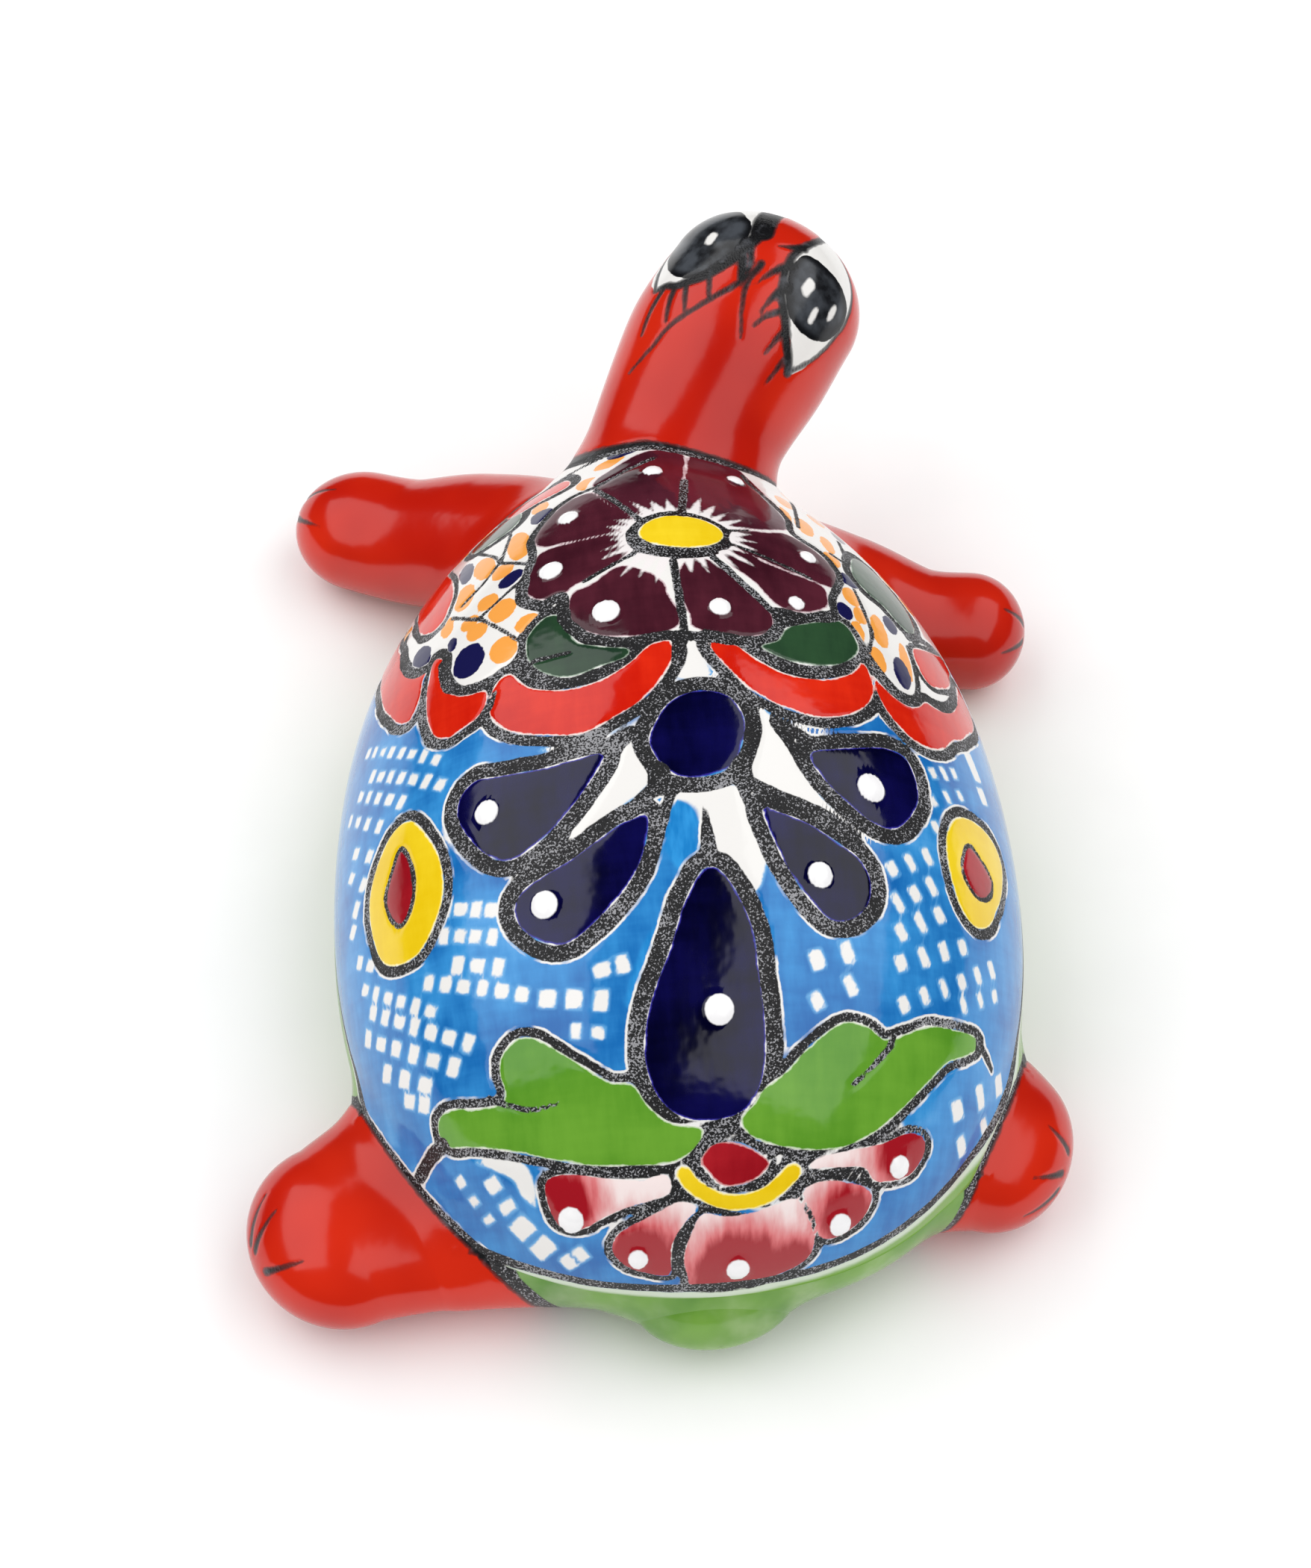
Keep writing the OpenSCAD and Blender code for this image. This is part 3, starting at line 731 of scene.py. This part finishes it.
def store_flat(mesh, flat):
    """Keeps the places on the flat map, which the brush's streaks follow."""
    values = np.zeros((len(mesh.vertices), 3), np.float32)
    values[:len(flat), :2] = flat
    mesh.attributes.new("flat", "FLOAT_VECTOR", "POINT").data.foreach_set("vector", values.ravel())


def smooth_step(value, low, high):
    t = np.clip((value - low) / (high - low), 0, 1)
    return t * t * (3 - 2 * t)


class Skin:
    """A surface as close vertices with normals, for measuring gaps to it."""

    CLOSE = 3

    def __init__(self, spots, normals):
        self.spots, self.normals = spots, normals
        self.tree = kdtree.KDTree(len(spots))
        for k, spot in enumerate(spots):
            self.tree.insert(spot, k)
        self.tree.balance()

    def gap(self, spots):
        """Distance of each place outside the surface, negative inside it, and straight if not close."""
        nearest = np.array([self.tree.find(spot)[1] for spot in spots])
        away = spots - self.spots[nearest]
        along = (away * self.normals[nearest]).sum(axis=1)
        far = np.linalg.norm(away, axis=1)
        return np.where(far > self.CLOSE, np.sign(along) * far, along)


SLIP_REACH, SLIP_RISE = 6.0, 1.68


def slip(gap):
    """How far the slip in a luted joint lifts a surface, by its gap from the other piece."""
    return SLIP_RISE * np.clip(1 - np.abs(gap) / SLIP_REACH, 0, 1) ** 2


def finish_piece(piece, layers, spots, normals, lift, material):
    """Stores the paint, and moves the outer vertices along their normals, but none below ground."""
    store_layers(piece.data, layers)
    spots[:len(lift)] += normals * lift[:, None]
    spots[:, 2] = np.maximum(spots[:, 2], 0)
    piece.data.vertices.foreach_set("co", (spots * MM).ravel())
    piece.data.update()
    piece.data.materials.append(material)


def shell_shape(side=291):
    """The shell's outer surface, as a square grid on its flat map, then the hollow under it."""
    step = np.linspace(-1, 1, side)
    a, b = np.meshgrid(step, step, indexing="ij")
    bearing = np.arctan2(b, a).ravel()
    share = np.maximum(np.abs(a), np.abs(b)).ravel()
    _, _, along = meridians(bearing)
    far = share * along[:, -1]
    flat = np.stack([far * np.cos(bearing), far * np.sin(bearing)], axis=1)
    spots = on_shell(flat)
    index = np.arange(side ** 2).reshape(side, side)
    edge = np.concatenate([index[:-1, 0], index[-1, :-1], index[:0:-1, -1], index[0, :0:-1]])
    rim = spots[edge] - [0, CROWN_Y, 0]
    reach = np.hypot(rim[:, 0], rim[:, 1])
    rings = []
    for turn in np.linspace(0, 0.98, 8) * math.pi / 2:
        out = (1 - WALL / reach) * math.cos(turn) ** (2 / DOME_POWER)
        up = (DOME_H - WALL) * math.sin(turn) ** (2 / DOME_POWER)
        rings.append(np.stack([rim[:, 0] * out, rim[:, 1] * out + CROWN_Y, RIM_Z + up + 0 * out], axis=1))
    first, count = len(spots), len(edge)
    top = np.array([[0, CROWN_Y, RIM_Z + DOME_H - WALL]])
    lip = np.arange(count) + first
    faces = grid_faces(side, side, False)
    faces += [[edge[k], edge[k - 1], lip[k - 1], lip[k]] for k in range(count)]
    faces += grid_faces(len(rings), count, True, first)
    faces += fan_faces(lip + (len(rings) - 1) * count, first + len(rings) * count)
    return flat, spots, np.vstack([spots] + rings + [top]), faces


def band_ring(turn, grow, count):
    """The body's outline below the rim, at a turn from -90 degrees at the belly up to the rim."""
    angle = np.linspace(-math.pi, math.pi, count, endpoint=False)
    x, y = rim_point(angle, BULGE - SIDE_R * (1 - math.cos(turn)) + grow)
    height = BULGE_Z * (1 + math.sin(turn))
    return np.stack([x, y + CROWN_Y, np.full(count, height)], axis=1)


FLOOR_TURN = math.asin(FLOOR / BULGE_Z - 1)


def band_shape(count=900):
    """The low wall between the belly slab and the shell, and how many of its vertices are outside."""
    outer = [band_ring(turn, 0, count) for turn in np.linspace(FLOOR_TURN, RIM_ANGLE, 24)]
    inner = [band_ring(turn, -WALL, count) for turn in np.linspace(RIM_ANGLE, FLOOR_TURN, 5)]
    rings = outer + inner
    return np.vstack(rings), ring_faces(len(rings), count), len(outer) * count


def belly_shape(count=720):
    """The flat belly slab, with its vent hole through it."""
    angle = np.linspace(-math.pi, math.pi, count, endpoint=False)
    side = [band_ring(turn, 0, count) for turn in np.linspace(FLOOR_TURN, -math.pi / 2 + 0.02, 14)]
    vent = np.stack([VENT_R * np.cos(angle), VENT_Y + VENT_R * np.sin(angle)], axis=1)

    def ledge(ring, height):
        """Rings from an outline in to the vent at one height."""
        rows = []
        for share in (0.02, 0.2, 0.5, 0.75, 0.93, 1.0):
            plan = ring[:, :2] + (vent - ring[:, :2]) * share
            rows.append(np.column_stack([plan, np.full(count, height)]))
        return rows

    rings = side + ledge(side[-1], 0.0) + ledge(side[0], FLOOR)[::-1]
    return np.vstack(rings), ring_faces(len(rings), count)


def limb_shape(limb, start, rows, columns):
    """A limb's skin from a buried root to its tip, flat where it rests on the ground."""
    along = np.linspace(start, limb.length * 0.9985, rows)
    turn = np.linspace(-180, 180, columns, endpoint=False)
    flat = np.stack(np.meshgrid(along, turn, indexing="ij"), axis=-1).reshape(-1, 2)
    spots = limb.place(flat)
    root = spots[:columns].mean(axis=0)
    tip = limb.centre[-1]
    first_ring = np.arange(columns)
    tip_fan = fan_faces(first_ring + (rows - 1) * columns, len(spots) + 1)
    faces = grid_faces(rows, columns, True)
    faces += fan_faces(first_ring, len(spots))
    faces += [face[::-1] for face in tip_fan]
    return flat, spots, np.vstack([spots, root, tip]), faces


# ---------------- materials

def glaze(*screen):
    """A linear colour from red, green and blue as whole screen values from 0 to 255."""
    shares = [value / 255 for value in screen]
    linear = [((share + 0.055) / 1.055) ** 2.4 if share > 0.04 else share / 12.92 for share in shares]
    return (*linear, 1.0)


class Shader:
    """Short names for building a node material."""

    def __init__(self, name):
        self.material = bpy.data.materials.new(name)
        self.material.use_nodes = True
        self.tree = self.material.node_tree
        self.surface = self.tree.nodes["Principled BSDF"]
        self.surface.inputs["Specular IOR Level"].default_value = 0.53

    def node(self, kind, **settings):
        node = self.tree.nodes.new(kind)
        for key, value in settings.items():
            setattr(node, key, value)
        return node

    def join(self, value, socket):
        """Links another node's output to a socket, or sets a plain value on it."""
        if isinstance(value, bpy.types.NodeSocket):
            self.tree.links.new(value, socket)
        else:
            socket.default_value = value

    def math(self, operation, *values):
        node = self.node("ShaderNodeMath", operation=operation)
        for value, socket in zip(values, node.inputs):
            self.join(value, socket)
        return node.outputs[0]

    def add(self, first, second):
        return self.math("ADD", first, second)

    def times(self, first, second):
        return self.math("MULTIPLY", first, second)

    def layer(self, name):
        return self.node("ShaderNodeAttribute", attribute_name=name).outputs["Fac"]

    def noise(self, scale, detail=2.0, rough=0.5, vector=None, spread=(1, 1, 1)):
        """Noise by position in metres, or by another vector, centred on zero."""
        if vector is None:
            vector = self.node("ShaderNodeTexCoord").outputs["Object"]
        stretch = self.node("ShaderNodeMapping")
        self.join(vector, stretch.inputs["Vector"])
        stretch.inputs["Scale"].default_value = spread
        node = self.node("ShaderNodeTexNoise")
        self.join(stretch.outputs[0], node.inputs["Vector"])
        node.inputs["Scale"].default_value = scale
        node.inputs["Detail"].default_value = detail
        node.inputs["Roughness"].default_value = rough
        return self.math("SUBTRACT", node.outputs["Fac"], 0.5)

    def step(self, value, low, high, to_low=0.0, to_high=1.0):
        """A smooth ramp from one result to another as the value goes from low to high."""
        node = self.node("ShaderNodeMapRange", interpolation_type="SMOOTHSTEP")
        self.join(value, node.inputs["Value"])
        for key, number in (("From Min", low), ("From Max", high), ("To Min", to_low), ("To Max", to_high)):
            node.inputs[key].default_value = number
        return node.outputs["Result"]

    def mix(self, share, first, second):
        node = self.node("ShaderNodeMix", data_type="RGBA")
        self.join(share, node.inputs[0])
        self.join(first, node.inputs[6])
        self.join(second, node.inputs[7])
        return node.outputs[2]

    def finish(self, colour, rough, bump, strength, distance):
        self.join(colour, self.surface.inputs["Base Color"])
        self.join(rough, self.surface.inputs["Roughness"])
        node = self.node("ShaderNodeBump")
        node.inputs["Strength"].default_value = strength
        node.inputs["Distance"].default_value = distance
        self.join(bump, node.inputs["Height"])
        self.tree.links.new(node.outputs[0], self.surface.inputs["Normal"])
        return self.material


WHITE_GLAZE = glaze(233, 231, 228)
BLACK_INK = glaze(19, 19, 22)
GREY_INK = glaze(150, 150, 154)
RED_DEEP, RED_BRIGHT = glaze(182, 20, 4), glaze(212, 40, 12)
GREEN_DEEP, GREEN_BRIGHT = glaze(80, 132, 40), glaze(120, 166, 68)

# Each fired colour of the shell: where it is deep, where it is thin, and at its edge.
FIRED = {
    "leaf": ((82, 142, 36), (108, 164, 52), (196, 214, 176)),
    "dark_green": ((30, 54, 38), (46, 78, 50), (150, 168, 150)),
    "red": ((196, 22, 6), (222, 44, 18), (236, 206, 200)),
    "purple": ((56, 18, 30), (86, 34, 48), (196, 170, 176)),
    "cobalt": ((2, 2, 30), (12, 10, 72), (50, 44, 150)),
    "yellow": ((230, 192, 10), (242, 210, 40), (248, 232, 150)),
    "maroon": ((146, 16, 28), (172, 30, 40), (214, 150, 150)),
}


def ink_colour(shader):
    """Dry black pigment with pale unfused grains."""
    grains = shader.noise(3300, 1.0, 0.6)
    worn = shader.noise(120, 2.0)
    pale = shader.step(shader.add(grains, shader.times(worn, 0.45)), 0.03, 0.16)
    return shader.mix(pale, BLACK_INK, GREY_INK)


def glaze_bump(shader, ink):
    """Orange peel in the glaze, and the dry grain of the ink."""
    peel = shader.times(shader.noise(420, 1.0), 0.3)
    dry = shader.times(shader.noise(3300, 1.0), ink)
    return shader.add(peel, dry)


def cover(shader, colour, name, tint, shake, low=-0.1, high=0.1, inset=0.0):
    """Lays a tint over the marks of a layer, with the brush's shake at their edge."""
    depth = shader.add(shader.layer(name), shake)
    return shader.mix(shader.step(depth, low + inset, high + inset), colour, tint)


def painted_shell():
    """Many coloured glazes, each inside its painted marks, with dry ink between them."""
    shader = Shader("painted_shell_glaze")
    wobble = shader.times(shader.noise(380, 2.0), 0.7)
    fine = shader.times(shader.noise(1500, 2.0), 0.3)
    shake = shader.add(wobble, fine)
    pool = shader.noise(70, 2.0)
    flat = shader.node("ShaderNodeAttribute", attribute_name="flat").outputs["Vector"]
    brush = shader.noise(0.5, 3.0, 0.55, flat, (1.0, 0.25, 1.0))
    cross_brush = shader.noise(0.5, 3.0, 0.55, flat, (0.22, 1.0, 1.0))

    strokes = shader.add(shader.times(brush, 0.45), shader.times(cross_brush, 0.3))
    depth = shader.add(strokes, shader.times(pool, 1.1))
    colour = shader.mix(shader.step(depth, -0.3, 0.32), glaze(16, 98, 172), glaze(58, 148, 214))
    colour = shader.mix(shader.step(depth, 0.12, 0.4, 0.0, 0.6), colour, glaze(96, 164, 220))

    wet = shader.mix(shader.step(shader.layer("white"), -0.55, 0.0, 0.0, 0.8), colour, glaze(104, 172, 222))
    colour = cover(shader, wet, "white", WHITE_GLAZE, shake, -0.2, 0.2)
    streak = shader.mix(shader.step(brush, -0.2, 0.2), glaze(18, 116, 188), glaze(52, 150, 218))
    colour = cover(shader, colour, "streak", streak, shake, -0.4, 0.5)

    ink_depth = shader.add(shader.layer("ink"), shader.times(shake, 0.7))
    patches = shader.step(shader.noise(160, 2.0), -0.12, 0.02)
    halo = shader.times(shader.step(ink_depth, -0.42, -0.2), patches)
    colour = shader.mix(halo, colour, WHITE_GLAZE)

    def fire(colour, *names):
        """Fired colours: a thin paler edge where each runs out, and uneven depth inside."""
        for name in names:
            deep, bright, edge = [glaze(*screen) for screen in FIRED[name]]
            colour = cover(shader, colour, name, edge, shake)
            tint = shader.mix(shader.step(depth, -0.3, 0.35), deep, bright)
            colour = cover(shader, colour, name, tint, shake, inset=0.2)
        return colour

    colour = fire(colour, "leaf", "dark_green", "red", "purple", "cobalt")
    blush = shader.add(shader.layer("tips"), shader.times(brush, 5.0))
    petal = shader.mix(shader.step(blush, -5.0, 0.6), glaze(244, 228, 226), glaze(216, 104, 108))
    petal = shader.mix(shader.step(blush, -0.6, 1.8), petal, glaze(160, 22, 34))
    colour = cover(shader, colour, "pink", petal, shake)
    colour = fire(colour, "yellow", "maroon")
    colour = cover(shader, colour, "orange", glaze(242, 162, 74), shake)
    colour = cover(shader, colour, "navy", glaze(24, 24, 74), shake)
    colour = cover(shader, colour, "rays", glaze(236, 230, 230), shake, -0.25, 0.25)

    hem = shader.add(shader.layer("inner"), shader.times(wobble, 0.6))
    below = shader.mix(shader.step(hem, -2.6, -1.4), GREEN_BRIGHT, glaze(206, 218, 198))
    colour = shader.mix(shader.step(hem, -0.9, -0.6), below, colour)

    line = shader.math("SUBTRACT", 0.8, shader.math("ABSOLUTE", hem))
    ink = shader.step(shader.math("MAXIMUM", ink_depth, line), -0.08, 0.12)
    colour = shader.mix(ink, colour, ink_colour(shader))
    dots = shader.step(shader.layer("dots"), -0.1, 0.15)
    colour = shader.mix(dots, colour, glaze(244, 243, 244))
    bare = shader.times(ink, shader.math("SUBTRACT", 1.0, dots))
    rough = shader.step(bare, 0.0, 1.0, 0.1, 0.5)
    return shader.finish(colour, rough, glaze_bump(shader, bare), 0.3, 0.0004)


def red_glaze():
    """Thick red glaze, with dry ink marks for eyes, lashes and toes."""
    shader = Shader("thick_red_glaze")
    shake = shader.times(shader.noise(700, 2.0), 0.5)
    colour = shader.mix(shader.step(shader.noise(45, 2.0), -0.25, 0.25), RED_DEEP, RED_BRIGHT)
    colour = cover(shader, colour, "white", WHITE_GLAZE, shake, inset=-0.3)
    iris = shader.mix(shader.step(shader.noise(300, 3.0), -0.2, 0.2), glaze(20, 21, 24), glaze(70, 74, 80))
    iris = shader.mix(shader.step(shader.layer("iris"), 0.3, 1.8), glaze(18, 19, 22), iris)
    colour = cover(shader, colour, "iris", iris, shake)
    # Painted highlights: white glaze on the irises where light glints.
    colour = cover(shader, colour, "shine", WHITE_GLAZE, shake, -0.25, 0.25)
    depth = shader.layer("ink")
    ink = shader.step(shader.add(depth, shake), -0.1, 0.2)
    ink = shader.times(ink, shader.step(depth, 0.0, 0.6, 0.66, 1.0))
    worn = shader.mix(shader.step(shader.noise(500, 3.0), 0.0, 0.3), glaze(17, 17, 20), glaze(74, 76, 82))
    colour = shader.mix(ink, colour, worn)
    rough = shader.step(ink, 0.0, 1.0, 0.16, 0.34)
    return shader.finish(colour, rough, glaze_bump(shader, ink), 0.25, 0.0004)


def green_glaze():
    """Green glaze that thins to the white ground in places."""
    shader = Shader("thin_green_glaze")
    colour = shader.mix(shader.step(shader.noise(80, 3.0), -0.22, 0.25), GREEN_DEEP, GREEN_BRIGHT)
    thin = shader.step(shader.noise(140, 3.0), -0.1, 0.3, 0.0, 0.45)
    colour = shader.mix(thin, colour, glaze(176, 196, 148))
    ink = shader.step(shader.layer("ink"), -0.1, 0.15)
    colour = shader.mix(ink, colour, ink_colour(shader))
    rough = shader.step(ink, 0.0, 1.0, 0.14, 0.45)
    return shader.finish(colour, rough, glaze_bump(shader, ink), 0.25, 0.0004)


def bare_clay():
    """Buff unglazed clay where the figure stands."""
    shader = Shader("bare_buff_clay")
    buff = shader.step(shader.noise(120, 5.0), -0.25, 0.25)
    colour = shader.mix(buff, glaze(176, 132, 96), glaze(208, 168, 130))
    colour = shader.mix(shader.step(shader.noise(1400, 2.0), 0.12, 0.24), colour, glaze(120, 84, 60))
    return shader.finish(colour, 0.85, shader.noise(900, 4.0), 0.5, 0.0005)


# ---------------- camera, light and floor

VIEW_TARGET = Vector((1.6, -14.2, 16.9)) * MM
VIEW_CENTRE = Vector((0, CROWN_Y, RIM_Z)) * MM
VIEW_TURN, VIEW_RISE, VIEW_ROLL, VIEW_FAR = 0.080, 0.90, 0.012, 0.450
SENSOR, FOCAL = 36.0, 66.17


def add_camera():
    """Looks from behind and above, by a turn, a rise and a distance from the middle of the rim."""
    data = bpy.data.cameras.new("camera")
    data.sensor_width, data.lens = SENSOR, FOCAL
    data.clip_start, data.clip_end = 0.01, 10
    camera = bpy.data.objects.new("camera", data)
    bpy.context.scene.collection.objects.link(camera)
    flat = math.cos(VIEW_RISE)
    away = Vector((math.sin(VIEW_TURN) * flat, math.cos(VIEW_TURN) * flat, math.sin(VIEW_RISE)))
    place = VIEW_CENTRE + away * VIEW_FAR
    forward = (VIEW_TARGET - place).normalized()
    level = forward.cross(Vector((0, 0, 1))).normalized()
    up = level.cross(forward)
    right = level * math.cos(VIEW_ROLL) + up * math.sin(VIEW_ROLL)
    up = right.cross(forward)
    camera.matrix_world = Matrix.Translation(place) @ Matrix((right, up, -forward)).transposed().to_4x4()
    bpy.context.scene.camera = camera


LIGHT_AIM = Vector((0, 0, 0.03))


def add_area_light(name, place, width, height, power):
    data = bpy.data.lights.new(name, "AREA")
    data.shape, data.size, data.size_y, data.energy = "RECTANGLE", width, height, power
    light = bpy.data.objects.new(name, data)
    light.location = place
    light.rotation_euler = (LIGHT_AIM - Vector(place)).to_track_quat("-Z", "Y").to_euler()
    bpy.context.scene.collection.objects.link(light)


def add_stage():
    """Even white surroundings that give no reflection, two softboxes that do, and a pale floor."""
    world = bpy.data.worlds.new("studio")
    world.use_nodes = True
    background = world.node_tree.nodes["Background"]
    background.inputs["Color"].default_value = (1, 1, 1, 1)
    background.inputs["Strength"].default_value = 0.66
    world.cycles_visibility.glossy = False
    bpy.context.scene.world = world
    bpy.context.scene.view_settings.view_transform = "Standard"
    add_area_light("right_softbox", (0.485, -0.086, 0.66), 1.2, 0.64, 3.3)
    add_area_light("left_softbox", (-0.413, 0.095, 0.71), 1.3, 0.62, 3.1)
    reach = 3.0
    corners = [(-reach, -reach, 0), (reach, -reach, 0), (reach, reach, 0), (-reach, reach, 0)]
    mesh = bpy.data.meshes.new("floor")
    mesh.from_pydata(corners, [], [(0, 1, 2, 3)])
    floor = bpy.data.objects.new("floor", mesh)
    bpy.context.scene.collection.objects.link(floor)
    shader = Shader("pale_floor")
    mottle = shader.step(shader.noise(40, 3.0), -0.3, 0.3)
    paper = shader.mix(mottle, glaze(250, 250, 250), glaze(254, 254, 254))
    mesh.materials.append(shader.finish(paper, 0.6, shader.noise(30, 2.0), 0.02, 0.001))


# ---------------- assembly

# Half width of the dry ink along a joint on the body and on a limb, and the gap that the band's
# ink leaves round the tail.
BODY_SEAM, LIMB_SEAM, TAIL_GAP = 1.75, 1.3, 2.4
# Rise and shoulder of a raised spot, and how far dry ink lies below the glaze.
SPOT_RISE, SPOT_SHOULDER = 0.7, 1.6
SHELL_SINK, LIMB_SINK = 0.14, 0.1
SHARP_ANGLE = 0.7

add_camera()
add_stage()
SHELL_GLAZE = painted_shell()
RED_GLAZE = red_glaze()
GREEN_GLAZE = green_glaze()
CLAY = bare_clay()

shell_flat, shell_outside, shell_spots, shell_faces = shell_shape()
band_spots, band_faces, band_count = band_shape()
band_outside = band_spots[:band_count].copy()
belly_spots, belly_faces = belly_shape()
limbs = {name: Limb(*shape[:2]) for name, shape in LIMBS.items()}
limb_skins = {name: limb_shape(limb, *LIMBS[name][2:]) for name, limb in limbs.items()}

shell = make_piece("glazed_carapace", "carapace", shell_spots, shell_faces)
band = make_piece("glazed_rim_band", "rim_band", band_spots, band_faces)
belly = make_piece("clay_belly", "belly", belly_spots, belly_faces)
limb_pieces = {}
for name, (flat, outside, spots, faces) in limb_skins.items():
    limb_pieces[name] = make_piece("glazed_" + name, name, spots, faces)

shell_normals = mesh_normals(shell.data, len(shell_flat))
band_normals = mesh_normals(band.data, band_count)
limb_normals = {}
for name, piece in limb_pieces.items():
    limb_normals[name] = mesh_normals(piece.data, len(limb_skins[name][0]))
body = Skin(np.vstack([shell_outside, band_outside]), np.vstack([shell_normals, band_normals]))
limb_outsides = np.vstack([skin[1] for skin in limb_skins.values()])
limb_skin = Skin(limb_outsides, np.vstack(list(limb_normals.values())))
tail_skin = Skin(limb_skins["tail"][1], limb_normals["tail"])

shell_paint = Paint(on_shell, shell_flat, shell_outside)
paint_shell(shell_paint)
layers = shell_paint.layers
gap = limb_skin.gap(shell_outside)
layers["ink"] = np.maximum(layers["ink"], BODY_SEAM - np.abs(gap))
lift = slip(gap) - SHELL_SINK * smooth_step(layers["ink"], -0.3, 0.35)
lift += SPOT_RISE * np.sqrt(1 - (1 - np.clip(layers["dots"] / SPOT_SHOULDER, 0, 1)) ** 2)
store_flat(shell.data, shell_flat)
finish_piece(shell, layers, shell_spots, shell_normals, lift, SHELL_GLAZE)

gap = limb_skin.gap(band_outside)
seam = np.where(np.abs(tail_skin.gap(band_outside)) < TAIL_GAP, -1.0, BODY_SEAM - np.minimum(np.abs(gap), 9))
finish_piece(band, {"ink": seam}, band_spots, band_normals, slip(gap), GREEN_GLAZE)
band.data.set_sharp_from_angle(angle=SHARP_ANGLE)

store_layers(belly.data, {"ink": []})
belly.data.set_sharp_from_angle(angle=SHARP_ANGLE)
belly.data.materials.append(GREEN_GLAZE)
belly.data.materials.append(CLAY)
for polygon in belly.data.polygons:
    polygon.material_index = int(abs(polygon.normal.z) > 0.9)

for name, piece in limb_pieces.items():
    flat, outside, spots, faces = limb_skins[name]
    paint = Paint(limbs[name].place, flat, outside)
    for layer_name in ("ink", "white", "iris", "shine"):
        paint.layer(layer_name)
    if name == "neck_and_head":
        paint_head(paint)
    paint_toes(paint, name, limbs[name].length)
    gap = body.gap(outside)
    if name != "tail":
        paint.layers["ink"] = np.maximum(paint.layers["ink"], LIMB_SEAM - np.abs(gap))
    lift = slip(gap) - LIMB_SINK * smooth_step(paint.layers["ink"], -0.3, 0.3)
    material = GREEN_GLAZE if name == "tail" else RED_GLAZE
    finish_piece(piece, paint.layers, spots, limb_normals[name], lift, material)
